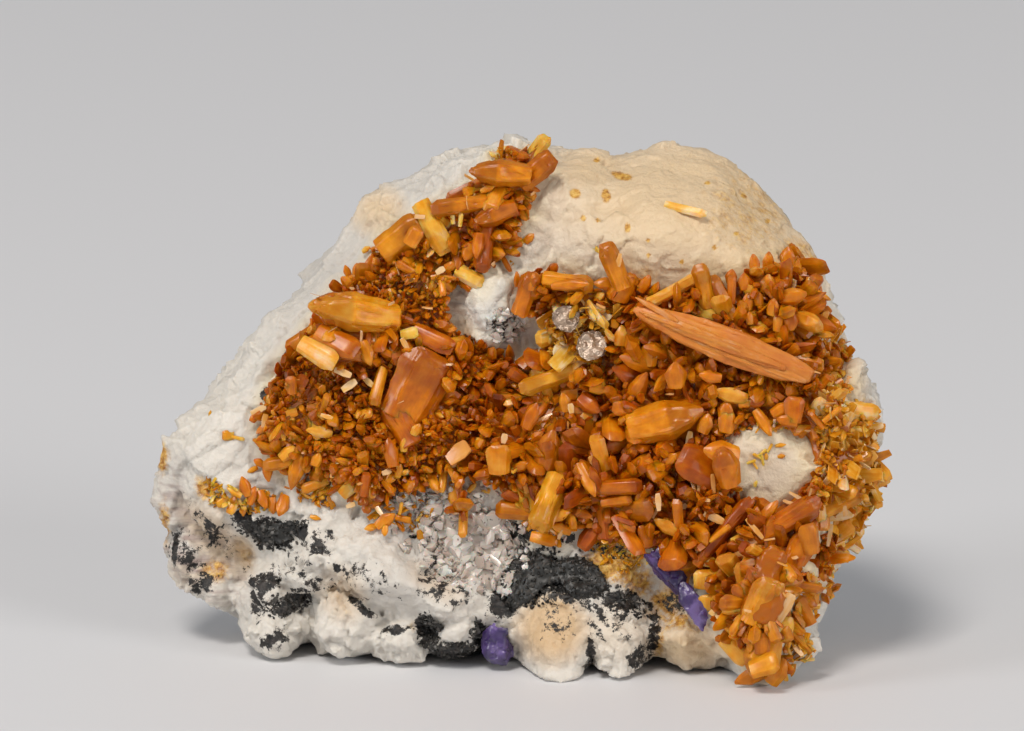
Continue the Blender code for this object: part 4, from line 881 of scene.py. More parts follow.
# Faces that look out at least this much, and that no crust covers, get the finer mesh.
FRONT_FACING = 0.12
# How often the smooth parts and then the whole stone are evened out.
SMOOTH_PASSES = 7
STONE_PASSES = 2
# Relief fades to nothing this near the floor, so that the feet stay flat.
FLAT_FOOT = 0.2
# How far from the crust the stone is tinted by it.
HALO_REACH = 2.2


class SPECIMEN_OT_stone(bpy.types.Operator):
    """Makes the feldspar block from the CAD stone, with its chips, ledges and stains."""

    bl_idname = "specimen.stone"
    bl_label = "Feldspar block"

    def execute(self, context):
        sizes = context.scene.specimen_sizes
        crust = Ground("eosphorite_crust")
        rng = Random(31)
        lobes = [broken_block(*lobe, rng) for lobe in LOBES]
        bm = merged_copy("feldspar_stone", sizes.stone_grain, lobes)
        bm.normal_update()
        front = [f for f in bm.faces if f.normal.z > FRONT_FACING]
        bare = [f for f in front if not crust.covers(f.calc_center_median())]
        edges = list(dict.fromkeys(e for f in bare for e in f.edges))
        bmesh.ops.subdivide_edges(bm, edges=edges, cuts=1, use_grid_fill=True)
        bm.normal_update()
        across, up, _ = np.array([v.co for v in bm.verts]).T
        relief = [covering(spots, across, up) for spots in (SMOOTH, LEDGES, CLEAVED, STREAKED)]
        smooth = [v for v, share in zip(bm.verts, relief[0]) if share > 0.3 and v.normal.z > 0]
        smoothed(bm, smooth, SMOOTH_PASSES)
        smoothed(bm, bm.verts[:], STONE_PASSES)
        bm.normal_update()
        for v, *shares in zip(bm.verts, *relief):
            height = (STAND @ v.co).z / MM
            v.co += v.normal * stone_relief(v.co, *shares) * max(0.0, min(1.0, height - FLAT_FOOT))
        bm.normal_update()
        across, up, _ = np.array([v.co for v in bm.verts]).T
        facing = np.clip([v.normal.z * 3.0 + 1.0 for v in bm.verts], 0.0, 1.0)
        stains = [covering(spots, across, up) * facing for spots in (CREAM, IRON, BLACK, GREYISH)]
        halo = [crust.nearness(v.co, HALO_REACH) for v in bm.verts]
        peach = covering(PEACH, across, up) * facing
        tints = (peach, halo, relief[3] * facing, np.ones(len(across)))
        mesh = from_bmesh("feldspar", bm)
        paint(mesh, "stains", np.stack(stains, axis=1))
        paint(mesh, "tints", np.stack(tints, axis=1))
        piece("feldspar", mesh, feldspar_material(context), ["feldspar_stone"])
        return {"FINISHED"}


def feldspar_material(context):
    """Broken feldspar: white, satin and a little translucent, cream on its dome and stained."""
    colours = context.scene.specimen_colours
    material, tree, surface = new_material("broken feldspar", {
        "Subsurface Weight": 0.3,
        "Subsurface Radius": (1.0, 0.85, 0.7),
        "Subsurface Scale": 0.0009,
    })
    place = node(tree, "TexCoord").outputs["Object"]
    stains = node(tree, "Attribute", attribute_name="stains")
    masks = node(tree, "SeparateColor", {0: stains.outputs["Color"]})
    cream, iron, black = masks.outputs[0], masks.outputs[1], masks.outputs[2]
    tints = node(tree, "Attribute", attribute_name="tints")
    parts = node(tree, "SeparateColor", {0: tints.outputs["Color"]})
    peach, halo, streaked = parts.outputs[0], parts.outputs[1], parts.outputs[2]
    # Clouds of 4 mm, which paint patches of darker grey as painted shade, grains of 0.5 mm, specks of
    # 0.8 mm in the glassy parts, and the ragged edges of stains, of 1.3 mm.
    clouds = node(tree, "TexNoise", {"Vector": place, "Scale": 250.0, "Detail": 4.0}).outputs[0]
    grains = node(tree, "TexNoise", {"Vector": place, "Scale": 1900.0, "Detail": 4.0}).outputs[0]
    specks = {"Vector": place, "Scale": 1300.0, "Detail": 5.0, "Roughness": 0.65}
    specks = node(tree, "TexNoise", specks).outputs[0]
    ragged = {"Vector": place, "Scale": 750.0, "Detail": 8.0, "Roughness": 0.75}
    ragged = node(tree, "TexNoise", ragged).outputs[0]
    ragged = node(tree, "MapRange", {0: ragged, 1: 0.34, 2: 0.66}).outputs[0]
    # Painted shade: patches of darker grey where the clouds are dense.
    shade_patches = node(tree, "MapRange", {0: clouds, 1: 0.35, 2: 0.68, 4: 0.55}).outputs[0]
    glassy = node(tree, "Math", {0: stains.outputs["Alpha"], 1: specks}, operation="MULTIPLY").outputs[0]
    glassy = node(tree, "Math", {0: glassy, 1: 1.5}, operation="MULTIPLY", use_clamp=True).outputs[0]
    # Veins 6 mm long and under 1 mm thick, which slant down the streaked side face.
    drawn = {"Vector": place, "Rotation": (0, math.radians(48), 0), "Scale": (160.0, 500.0, 1500.0)}
    drawn = node(tree, "Mapping", drawn).outputs[0]
    veins = node(tree, "TexNoise", {"Vector": drawn, "Scale": 1.0, "Detail": 4.0}).outputs[0]
    veined = node(tree, "MapRange", {0: veins, 1: 0.45, 2: 0.62}).outputs[0]
    veined = node(tree, "Math", {0: veined, 1: streaked}, operation="MULTIPLY").outputs[0]
    # The feldspar yellows a little where the crust grows on it.
    yellowed = node(tree, "Math", {0: halo, 1: clouds}, operation="MULTIPLY").outputs[0]
    base = (*colours.white, 1)
    for share, colour in (
        (shade_patches, linear("#CCC6BC")),
        (glassy, colours.grey),
        (cream, colours.cream),
        (peach, colours.peach),
        (veined, linear("#A8968E")),
        (yellowed, linear("#E2CFA0")),
    ):
        base = node(tree, "Mix", {0: share, 6: base, 7: (*colour, 1)}, data_type="RGBA").outputs[2]
    rusty = node(tree, "Math", {0: iron, 1: ragged}, operation="ADD").outputs[0]
    rusty = node(tree, "MapRange", {0: rusty, 1: 0.75, 2: 1.45, 4: 0.9}).outputs[0]
    rusty = node(tree, "Math", {0: rusty, 1: iron}, operation="MULTIPLY").outputs[0]
    rusty = node(tree, "Math", {0: rusty, 1: 1.8}, operation="MULTIPLY", use_clamp=True).outputs[0]
    rust = ((0.35, linear("#A06A28")), (0.5, linear("#C8953F")), (0.65, linear("#E0B968")))
    sooty = node(tree, "Math", {0: black, 1: ragged}, operation="ADD").outputs[0]
    sooty = node(tree, "MapRange", {0: sooty, 1: 1.02, 2: 1.14}).outputs[0]
    soot = ((0.4, linear("#0E0E0E")), (0.62, linear("#332D29")))
    for share, stops in ((rusty, rust), (sooty, soot)):
        stain = node(tree, "ValToRGB", {0: grains}, stops=stops).outputs[0]
        base = node(tree, "Mix", {0: share, 6: base, 7: stain}, data_type="RGBA").outputs[2]
    height = node(tree, "Math", {0: grains, 1: specks}, operation="ADD").outputs[0]
    bump = node(tree, "Bump", {"Height": height, "Strength": 0.55, "Distance": 0.0003})
    gloss = node(tree, "MapRange", {0: specks, 1: 0.3, 2: 0.7, 3: 0.32, 4: 0.6}).outputs[0]
    tree.links.new(base, surface.inputs["Base Color"])
    tree.links.new(bump.outputs[0], surface.inputs["Normal"])
    tree.links.new(gloss, surface.inputs["Roughness"])
    return material


def hull_shape(rings, sides, ridge, rng, jitter):
    """A crystal from its rings along Z: place, width, thickness. It ends in a ridge like a chisel's.

    The shape is one unit long.
    """
    bm = bmesh.new()
    for z, width, thickness in rings:
        for k in range(sides):
            # A four-sided crystal is turned by half a side, so that it lies on its flats.
            angle = math.tau * (k + (sides % 4 == 0) / 2) / sides
            x, y = (math.copysign(abs(w) ** 0.95, w) for w in (math.cos(angle), math.sin(angle)))
            stray = 1.0 + rng.uniform(-jitter, jitter)
            bm.verts.new((width / 2 * x * stray, thickness / 2 * y * stray, z))
    for side in (-1, 1):
        bm.verts.new((side * ridge / 2 + rng.uniform(-jitter, jitter) / 3, 0.0, 0.5))
    hulled(bm)
    return bm


def shape_of(bm):
    """A small mesh kept as arrays, with how near each point is to the crystal's rim."""
    bmesh.ops.triangulate(bm, faces=bm.faces)
    bm.verts.index_update()
    points = np.array([v.co for v in bm.verts])
    faces = np.array([[v.index for v in f.verts] for f in bm.faces])
    side = np.abs(points[:, 0]) / max(1e-6, np.abs(points[:, 0]).max())
    tip = np.clip(points[:, 2] * 2, 0.0, 1.0)
    rim = np.maximum(side**3, tip**3)
    bm.free()
    return Shape(points, faces, rim)


# Habits of crystals: rings along the length, each a place, width and thickness, and then the width
# of the ridge at the tip.
HABITS = {
    "lozenge": (((-0.5, 0.7, 0.8), (0.02, 1.0, 1.0), (0.3, 0.62, 0.75)), 0.14),
    "prism": (((-0.5, 0.86, 0.9), (0.36, 1.0, 1.0)), 0.5),
    "tablet": (((-0.5, 0.8, 0.85), (0.26, 1.0, 1.0), (0.42, 0.8, 0.7)), 0.6),
    "plate": (((-0.5, 0.7, 1.0), (0.1, 1.0, 1.0), (0.46, 0.75, 1.0)), 0.4),
    "blade": (
        (
            (-0.5, 0.16, 0.4), (-0.4, 0.5, 0.8), (-0.2, 0.92, 1.0),
            (0.1, 1.0, 1.0), (0.35, 0.8, 0.9), (0.49, 0.42, 0.6),
        ),
        0.3,
    ),
}
# Thickness of the lesser crystals as a share of their width.
FLATNESS = {"lozenge": 0.5, "prism": 0.7, "tablet": 0.38, "plate": 0.15}


class Cluster:
    """Many small shapes gathered in one mesh."""

    def __init__(self):
        self.points, self.faces, self.growth, self.own = [], [], [], []
        self.count = 0

    def add(self, shape, place, size, tone, gold):
        """Adds a shape of a size at a place of the faced view, clear of the floor.

        Tone is light, and gold is yellow.
        """
        turn = np.array(place)
        grown = shape.points * np.array(size)
        placed = grown @ turn[:3, :3].T + turn[:3, 3]
        lowest = (placed[:, 1] * math.cos(LEAN) + placed[:, 2] * math.sin(LEAN)).min()
        placed[:, 1] += max(0.0, -lowest) / math.cos(LEAN)
        self.points.append(placed)
        self.faces.append(shape.faces + self.count)
        self.own.append(grown + np.array((self.count * 0.37 % 50.0, 0.0, 0.0)))
        rows = np.ones((len(grown), 4))
        rows[:, 0], rows[:, 1], rows[:, 2] = shape.rim, tone, gold
        self.growth.append(rows)
        self.count += len(grown)

    def piece(self, name, sharp, material, slot, replaced=()):
        """The gathered shapes as a piece of the specimen, with edges sharp past an angle."""
        turn = np.array(STAND)
        points = np.concatenate(self.points) @ turn[:3, :3].T + turn[:3, 3]
        mesh = bpy.data.meshes.new(name)
        mesh.from_pydata(points.tolist(), [], np.concatenate(self.faces).tolist())
        mesh.shade_smooth()
        mesh.set_sharp_from_angle(angle=math.radians(sharp))
        paint(mesh, "growth", np.concatenate(self.growth))
        own = mesh.attributes.new("own", "FLOAT_VECTOR", "POINT")
        own.data.foreach_set("vector", np.concatenate(self.own).astype(np.float32).ravel())
        return piece(name, mesh, material, replaced)


def axes_along(along, wide):
    """A turn whose Z runs along a direction and whose X is as near as can be to another."""
    along = along.normalized()
    thick = along.cross(wide).normalized()
    return Matrix((thick.cross(along), thick, along)).transposed().to_4x4()


def aimed(turn, tilt, roll):
    """The turn of a crystal from its direction in the face, its tilt to the eye and its roll."""
    t, e = math.radians(turn), math.radians(tilt)
    along = Vector((math.cos(t) * math.cos(e), math.sin(t) * math.cos(e), math.sin(e)))
    wide = Vector((-math.sin(t), math.cos(t), 0))
    return axes_along(along, wide) @ Matrix.Rotation(math.radians(roll), 4, "Z")


def eosphorite_material(context, name, gloss, lined, spread=0.7, tint=None, tinted=0.0):
    """Eosphorite: resinous to glassy, orange-brown, with light spreading inside it."""
    colours = context.scene.specimen_colours
    material, tree, surface = new_material(name, {
        "Roughness": gloss,
        "IOR": 1.65,
        "Specular IOR Level": 0.22,
        "Transmission Weight": 0.15,
        "Subsurface Weight": spread,
        "Subsurface Radius": (1.0, 0.45, 0.12),
        "Subsurface Scale": 0.0005,
    })
    # Each crystal's own length runs along Z, so its growth lines of about 0.3 mm follow it.
    own = node(tree, "Attribute", attribute_name="own").outputs["Vector"]
    growth = node(tree, "Attribute", attribute_name="growth").outputs["Color"]
    parts = node(tree, "SeparateColor", {0: growth})
    rim, tone, gold = parts.outputs[0], parts.outputs[1], parts.outputs[2]
    clouds = node(tree, "TexNoise", {"Vector": own, "Scale": 0.7, "Detail": 3.0}).outputs[0]
    drawn = node(tree, "Mapping", {"Vector": own, "Scale": (3.4, 3.4, 0.3)}).outputs[0]
    lines = node(tree, "TexNoise", {"Vector": drawn, "Scale": 1.0, "Detail": 4.0}).outputs[0]
    light = tone
    for pattern, strength in ((clouds, 0.15), (lines, lined)):
        change = {0: pattern, 1: 0.3, 2: 0.7, 3: -strength, 4: strength}
        change = node(tree, "MapRange", change).outputs[0]
        light = node(tree, "Math", {0: light, 1: change}, operation="ADD").outputs[0]
    plain = (
        (0.0, colours.deep),
        (0.3, linear("#B65200")),
        (0.6, colours.orange),
        (0.8, linear("#F6A21E")),
        (1.0, linear("#F6CFA0")),
    )
    yellow = (
        (0.0, linear("#8A4A00")),
        (0.35, linear("#D08A06")),
        (0.6, colours.golden),
        (0.8, linear("#F6CF5A")),
        (1.0, linear("#FAEBC0")),
    )
    plain, yellow = (node(tree, "ValToRGB", {0: light}, stops=s).outputs[0] for s in (plain, yellow))
    base = node(tree, "Mix", {0: gold, 6: plain, 7: yellow}, data_type="RGBA").outputs[2]
    # Rims and tips are painted a deeper brown as painted shade, in place of light that leaves them
    # sideways through the crystal; clear, pale crystals get less of it.
    rim_shade = node(tree, "Math", {0: rim, 1: 0.5}, operation="MULTIPLY").outputs[0]
    clear = node(tree, "MapRange", {0: tone, 1: 0.55, 2: 0.9, 3: 1.0, 4: 0.1}).outputs[0]
    rim_shade = node(tree, "Math", {0: rim_shade, 1: clear}, operation="MULTIPLY").outputs[0]
    layers = [(rim_shade, "#8E4203")]
    if tint:
        layers.append((tinted, tint))
    for share, colour in layers:
        layer = {0: share, 6: base, 7: (*linear(colour), 1)}
        base = node(tree, "Mix", layer, data_type="RGBA").outputs[2]
    bump = node(tree, "Bump", {"Height": lines, "Strength": 0.25, "Distance": 0.0001})
    tree.links.new(base, surface.inputs["Base Color"])
    tree.links.new(bump.outputs[0], surface.inputs["Normal"])
    return material


def zones_at(across, up):
    """Size, tone, gold and shards of the druse at places, blended from its zones."""
    total = np.full(np.shape(across), 0.15)
    mixed = np.outer(total, DRUSE_ELSEWHERE)
    for x, y, half_width, half_height, turn, *values in DRUSE_ZONES:
        share = covering([(x, y, half_width, half_height, turn, 1.0)], across, up)
        total = total + share
        mixed = mixed + np.outer(share, values)
    return mixed / total[:, None]


def evenly(spacing):
    """A spacing that is the same at every place."""
    return lambda across, up: np.full(np.shape(across), spacing)


# How many places are tried on each square millimetre of a bed.
ROOT_TRIES = 9


def roots(bm, seed, spacing, least=0.0):
    """Places on a bed's outward faces, no nearer to each other than the spacing at each place."""
    rng = Random(seed)
    bm.normal_update()
    faces = [f for f in bm.faces if f.normal.z > least]
    areas = np.cumsum([f.calc_area() for f in faces])
    tries = int(areas[-1] * ROOT_TRIES)
    picks = np.searchsorted(areas, [rng.uniform(0, areas[-1]) for _ in range(tries)])
    tried = []
    for i in picks:
        face = faces[min(i, len(faces) - 1)]
        a, b, *_ = [v.co for v in face.verts]
        tried.append((face.calc_center_median() + (b - a) * rng.uniform(-0.4, 0.4), face.normal.copy()))
    places = np.array([point for point, _ in tried])
    reaches = spacing(places[:, 0], places[:, 1])
    widest = max(0.2, float(reaches.max()))
    taken, kept = {}, []
    for (point, normal), reach in zip(tried, reaches):
        cell = tuple(int(math.floor(x / widest)) for x in point)
        cells = product(*((i - 1, i, i + 1) for i in cell))
        near = (other for next_cell in cells for other in taken.get(next_cell, ()))
        if reach > 0 and all((point - other).length > reach for other in near):
            taken.setdefault(cell, []).append(point)
            kept.append((point, normal))
    return kept


def strewn(rng, stone, across, up, half_width, half_height, turn, count):
    """Places on the stone in an oval with a ragged edge."""
    turned = Matrix.Rotation(math.radians(turn), 4, "Z")
    places = []
    for _ in range(count):
        way, reach = rng.uniform(0, math.tau), math.sqrt(rng.random())
        drift = Vector((math.cos(way) * half_width, math.sin(way) * half_height, 0)) * reach
        point = turned @ drift + Vector((across, up, 0))
        out = stone.out(point.x, point.y, None)
        if out is not None and 0.8 * noise.noise(point / 1.3) + 1.0 - reach**2 > 0.15:
            places.append(Vector((point.x, point.y, out)))
    return places


def grown_shape(habit, sides, rng, jitter, rounding=0.0):
    """A crystal one unit long, wide and thick, with its edges cut where a rounding is given."""
    rings, ridge = HABITS[habit]
    bm = hull_shape(rings, sides, ridge, rng, jitter)
    bmesh.ops.dissolve_limit(bm, angle_limit=math.radians(8), edges=bm.edges, verts=bm.verts)
    if rounding:
        bevelled(bm, rounding)
    return shape_of(bm)


def grown_shapes(habits, each, sides, rng, jitter, rounding=0.0):
    """Several crystals of each habit."""
    return [grown_shape(habit, sides, rng, jitter, rounding) for habit in habits for _ in range(each)]


# Ovals kept clear of the druse, where apatite or bare stone shows: across, up, half width, half
# height, turn, strength.
CLEAR = (
    (16.2, 12.6, 3.4, 3.2, -20, 1.0),
    (18.2, 8.2, 2.2, 3.8, 12, 1.0),
    (28.0, 24.8, 5.0, 5.4, 0, 1.2),
)


def footprints():
    """The ovals kept clear, and those that the listed crystals cover."""
    ovals = list(CLEAR)
    for across, up, long, width, _, turn, *_ in LARGE_CRYSTALS:
        ovals.append((across, up, long * 0.5, width * 0.5, turn, 1.0))
    for across, up, long, width, turn, *_ in LESSER_CRYSTALS:
        ovals.append((across, up, long * 0.42, width * 0.42, turn, 1.0))
    across, up, long, width, _, turn, *_ = BLADE[0]
    ovals.append((across, up, long * 0.5, width * 0.55, turn, 1.0))
    return ovals


# A crystal of the druse is left out where the listed crystals cover its root more than this.
MOST_COVERED = 0.25
# Crystals of at least this share of the common size come from the coarse shapes.
COARSE_FROM = 1.2
# Shards and other crystals: how much their direction strays, and their thickness to their width.
STRAY = {True: 0.8, False: 0.24}
THICKNESS = (0.34, 0.75)
SHARD_THICKNESS = 0.14
STREWN_SHARD_THICKNESS = 0.16
# Cleaved flakes: least spacing, thickness, and how high they lie over the bed.
FLAKE_SPACING = 3.4
FLAKE_THICKNESS = 0.07
FLAKE_HEIGHT = (0.4, 1.0)


class SPECIMEN_OT_druse(bpy.types.Operator):
    """Makes the crust's bed, its thousands of small crystals and those strewn on the stone."""

    bl_idname = "specimen.druse"
    bl_label = "Eosphorite druse"

    def execute(self, context):
        sizes = context.scene.specimen_sizes
        bm = merged_copy("eosphorite_crust", sizes.bed_grain)
        smoothed(bm, bm.verts[:], 10)
        bm.normal_update()
        for v in bm.verts:
            lumps = 0.25 * noise.noise(v.co / 1.1) + 0.15 * noise.noise(v.co / 0.5)
            v.co += v.normal * (lumps - 0.35) - Vector((0, 0, 0.5))
        rng = Random(5)
        coarse = grown_shapes(("lozenge", "prism", "tablet", "prism"), 3, 6, rng, 0.10, 0.03)
        fine = grown_shapes(("lozenge", "prism", "prism", "tablet"), 4, 6, rng, 0.14)
        shards = grown_shapes(("plate",), 8, 4, rng, 0.34)
        middles = roots(bm, 77, lambda x, y: FAN_SPACING * zones_at(x, y)[:, 0])
        fans = KDTree(len(middles))
        for i, (point, normal) in enumerate(middles):
            fans.insert(point - normal * FAN_DEPTH, i)
        fans.balance()
        taken = footprints()
        clusters = [Cluster(), Cluster(), Cluster()]
        base_length, base_width = sizes.druse_length / MM, sizes.druse_width / MM
        for seed, (share, spacing, stand_out, depth_shade) in enumerate(DRUSE_GENERATIONS):
            kept = roots(bm, seed, lambda x, y: spacing * zones_at(x, y)[:, 0])
            across, up, _ = np.array([point for point, _ in kept]).T
            covered = covering(taken, across, up)
            for (point, normal), zone, hidden in zip(kept, zones_at(across, up), covered):
                if hidden > MOST_COVERED:
                    continue
                size, tone, gold, broken = zone
                stray = any_way(rng)
                spread = (point - fans.find(point)[0]).normalized()
                is_shard = rng.random() < broken
                along = normal * 0.4 + spread * 0.75 + stray * STRAY[is_shard]
                along = (along + Vector((0, 0, 0.1))).normalized()
                wide = Vector((0, 0, 1)).cross(along) + any_way(rng, 0.5)
                grown = share * size * min(1.6, math.exp(rng.gauss(-0.04, 0.3)))
                sides = base_width * grown * rng.uniform(0.75, 1.3)
                long = base_length * grown * rng.uniform(0.8, 1.2)
                deep = sides * (SHARD_THICKNESS if is_shard else rng.uniform(*THICKNESS))
                middle = Matrix.Translation(point + along * long * stand_out) @ axes_along(along, wide)
                # The generation's change of tone is painted shade: darker for the smaller crystals deep
                # in the druse.
                tone += depth_shade + rng.gauss(0, 0.12)
                gold = max(0.0, min(1.0, gold + rng.gauss(0, 0.16)))
                shape = rng.choice(shards if is_shard else coarse if share > COARSE_FROM else fine)
                cluster = clusters[2 if is_shard else point.x > DRUSE_SPLIT]
                cluster.add(shape, middle, (sides, deep, long), tone, gold)
        stone = Ground("feldspar")
        for *oval, size, tone, gold, broken in STREWN:
            for point in strewn(rng, stone, *oval):
                is_shard = rng.random() < broken
                stray = any_way(rng)
                along = (stray + Vector((0, 0, 0.7))).normalized()
                grown = size * math.exp(rng.gauss(0, 0.3))
                sides = base_width * grown
                deep = sides * (STREWN_SHARD_THICKNESS if is_shard else rng.uniform(*THICKNESS))
                point.z += 0.2 * base_length * grown
                wide = Vector((stray.y, stray.z, stray.x))
                middle = Matrix.Translation(point) @ axes_along(along, wide)
                shape = rng.choice(shards if is_shard else fine)
                cluster = clusters[2 if is_shard else oval[0] > DRUSE_SPLIT]
                size_here = (sides, deep, base_length * grown)
                cluster.add(shape, middle, size_here, tone + rng.gauss(0, 0.14), gold)
        flakes = Cluster()
        for point, normal in roots(bm, 91, evenly(FLAKE_SPACING)):
            stray = any_way(rng)
            along = (normal.cross(stray) + stray * 0.15).normalized()
            size = (rng.uniform(0.3, 0.8), FLAKE_THICKNESS, rng.uniform(0.6, 1.7))
            point = point + normal * rng.uniform(*FLAKE_HEIGHT) + Vector((0, 0, 0.2))
            middle = Matrix.Translation(point)
            shape = rng.choice(shards)
            flakes.add(shape, middle @ axes_along(along, stray), size, rng.uniform(0.8, 1.0), 0.1)
        material = eosphorite_material(context, "glassy eosphorite", 0.3, 0.08)
        bed = from_bmesh("eosphorite_bed", bm)
        # The bed is painted a deep tone with a fixed share of the deeper rim colour: partly the crust's
        # own colour, partly painted shade in the gaps between the crystals.
        paint(bed, "growth", np.tile((0.5, 0.36, 0.3, 1.0), (len(bed.vertices), 1)))
        piece("eosphorite_bed", bed, material, ["eosphorite_crust"])
        left, right, shattered = clusters
        left.piece("eosphorite_druse_left", 24.0, material, "eosphorite")
        right.piece("eosphorite_druse_right", 24.0, material, "eosphorite")
        broken = eosphorite_material(context, "broken eosphorite", 0.2, 0.1, 0.1)
        shattered.piece("eosphorite_shards", 24.0, broken, "eosphorite")
        pale = eosphorite_material(context, "cleaved eosphorite", 0.18, 0.1, 0.0, "#E2A868", 0.45)
        flakes.piece("eosphorite_flakes", 30.0, pale, "eosphorite")
        return {"FINISHED"}


def large_crystal(habit, size, rng, lined=0.035):
    """A large crystal with rounded edges and fine lines along its length, in millimetres."""
    rings, ridge = HABITS[habit]
    bm = hull_shape(rings, 10 if habit == "blade" else 6, ridge, rng, 0.07)
    bmesh.ops.scale(bm, vec=size, verts=bm.verts)
    bmesh.ops.dissolve_limit(bm, angle_limit=math.radians(7), edges=bm.edges, verts=bm.verts)
    bevelled(bm, min(size.x, size.y) * 0.05)
    divided(bm, 0.38)
    bm.normal_update()
    seed = Vector((rng.uniform(0, 99), 0, 0))
    for v in bm.verts:
        # Growth lines 0.35 mm apart, and chips of about 1.5 mm.
        lines = noise.noise(Vector((v.co.x / 0.35, v.co.y / 0.35, v.co.z / 4.0)) + seed)
        cell = noise.voronoi(Vector((v.co.x / 1.3, v.co.y / 1.3, v.co.z / 2.2)) + seed)[1][0]
        chips = (v.co / 1.6 - cell).dot(noise.noise_vector(cell * 5.0))
        v.co += v.normal * (lined * lines + min(0.08, size.y * 0.04) * max(-0.8, min(0.8, chips)))
    return bm


# How far the small crystals of the druse lift the lesser crystals over its bed.
OVER_BED = 0.9


class SPECIMEN_OT_large_crystals(bpy.types.Operator):
    """Makes the crystals that stand out of the druse, and those alone on the stone."""

    bl_idname = "specimen.large_crystals"
    bl_label = "Large crystals"

    def execute(self, context):
        stone = Ground("feldspar")
        bed = Ground("feldspar", "eosphorite_bed")
        rng = Random(12)
        large, lesser, lone, plates = Cluster(), Cluster(), Cluster(), Cluster()
        for row in LARGE_CRYSTALS:
            across, up, long, width, thickness, turn, tilt, roll, lift, habit, tone, gold = row
            bm = large_crystal(habit, Vector((width, thickness, long)), rng)
            out = stone.out(across, up) + CRUST_THICKNESS + lift
            place = Matrix.Translation(Vector((across, up, out))) @ aimed(turn, tilt, roll)
            large.add(shape_of(bm), place, (1, 1, 1), tone, gold)
        shapes = {
            habit: grown_shapes((habit,), 5, 4 if habit == "plate" else 6, rng, 0.12, 0.03)
            for habit in FLATNESS
        }
        rows = [(lesser, bed, OVER_BED, row) for row in LESSER_CRYSTALS]
        rows += [(lone, stone, 0.0, row) for row in LONE_CRYSTALS]
        for cluster, ground, over, row in rows:
            across, up, long, width, turn, habit, tone, gold, rise = row
            cluster = plates if habit == "plate" else cluster
            size = (width, width * FLATNESS[habit], long)
            out = ground.out(across, up) + over + rise + size[1] * 0.3
            place = Matrix.Translation(Vector((across, up, out)))
            turned = aimed(turn, rng.uniform(2, 22), rng.uniform(-25, 25))
            cluster.add(rng.choice(shapes[habit]), place @ turned, size, tone, gold)
        material = eosphorite_material(context, "large eosphorite", 0.3, 0.05)
        large.piece("eosphorite_large", 26.0, material, "eosphorite")
        lesser.piece("eosphorite_lesser", 24.0, material, "eosphorite")
        plates.piece("eosphorite_plates", 24.0, bpy.data.materials["cleaved eosphorite"], "eosphorite")
        sprigs = ["eosphorite_sprig_left", "eosphorite_sprig_lower", "eosphorite_stray"]
        lone.piece("eosphorite_lone", 24.0, material, "eosphorite", sprigs)
        return {"FINISHED"}


# The long fibrous blade, its body first and then the splinters along it: across, up, length, width,
# thickness, turn, tilt, roll, rise, tone, gold.
BLADE = (
    (22.4, 37.9, 20.9, 3.9, 1.5, -21, 3, 6, 1.6, 0.72, 0.0),
    (19.6, 39.0, 13.6, 1.5, 1.0, -21, 3, 0, 1.9, 0.80, 0.0),
    (25.0, 36.2, 14.0, 1.3, 0.9, -21, 3, 0, 1.9, 0.76, 0.0),
    (21.6, 38.1, 16.4, 1.5, 0.9, -21, 3, 0, 2.1, 0.68, 0.0),
    (15.2, 41.6, 5.4, 0.8, 0.5, -30, 6, 0, 1.8, 0.78, 0.0),
    (28.6, 36.6, 7.2, 0.7, 0.5, -26, 2, 0, 2.0, 0.84, 0.0),
)


class SPECIMEN_OT_blade(bpy.types.Operator):
    """Makes the long salmon blade that lies across the druse."""

    bl_idname = "specimen.blade"
    bl_label = "Long blade"

    def execute(self, context):
        stone = Ground("feldspar")
        rng = Random(3)
        # The whole blade lies level, on the small crystals under its middle.
        out = stone.out(*BLADE[0][:2]) + CRUST_THICKNESS + 1.2
        cluster = Cluster()
        for across, up, long, width, thickness, turn, tilt, roll, rise, tone, gold in BLADE:
            bm = large_crystal("blade", Vector((width, thickness, long)), rng, 0.1)
            place = Matrix.Translation(Vector((across, up, out + rise))) @ aimed(turn, tilt, roll)
            cluster.add(shape_of(bm), place, (1, 1, 1), tone, gold)
        material = eosphorite_material(context, "fibrous eosphorite", 0.4, 0.12, 0.15, "#D07C3E", 0.6)
        cluster.piece("salmon_blade", 40.0, material, "eosphorite")
        return {"FINISHED"}


# Leaves of a mica book: how many, their thickness and spacing, and how far the book leans back.
LEAVES = 9
LEAF_THICKNESS = 0.09
LEAF_SPACING = 0.13
BOOK_LEAN = math.radians(-16)


def middle_of(name):
    """The middle of a CAD node's box, in the faced view."""
    low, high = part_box(name)
    return FACED @ ((Vector(low) + Vector(high)) / 2)


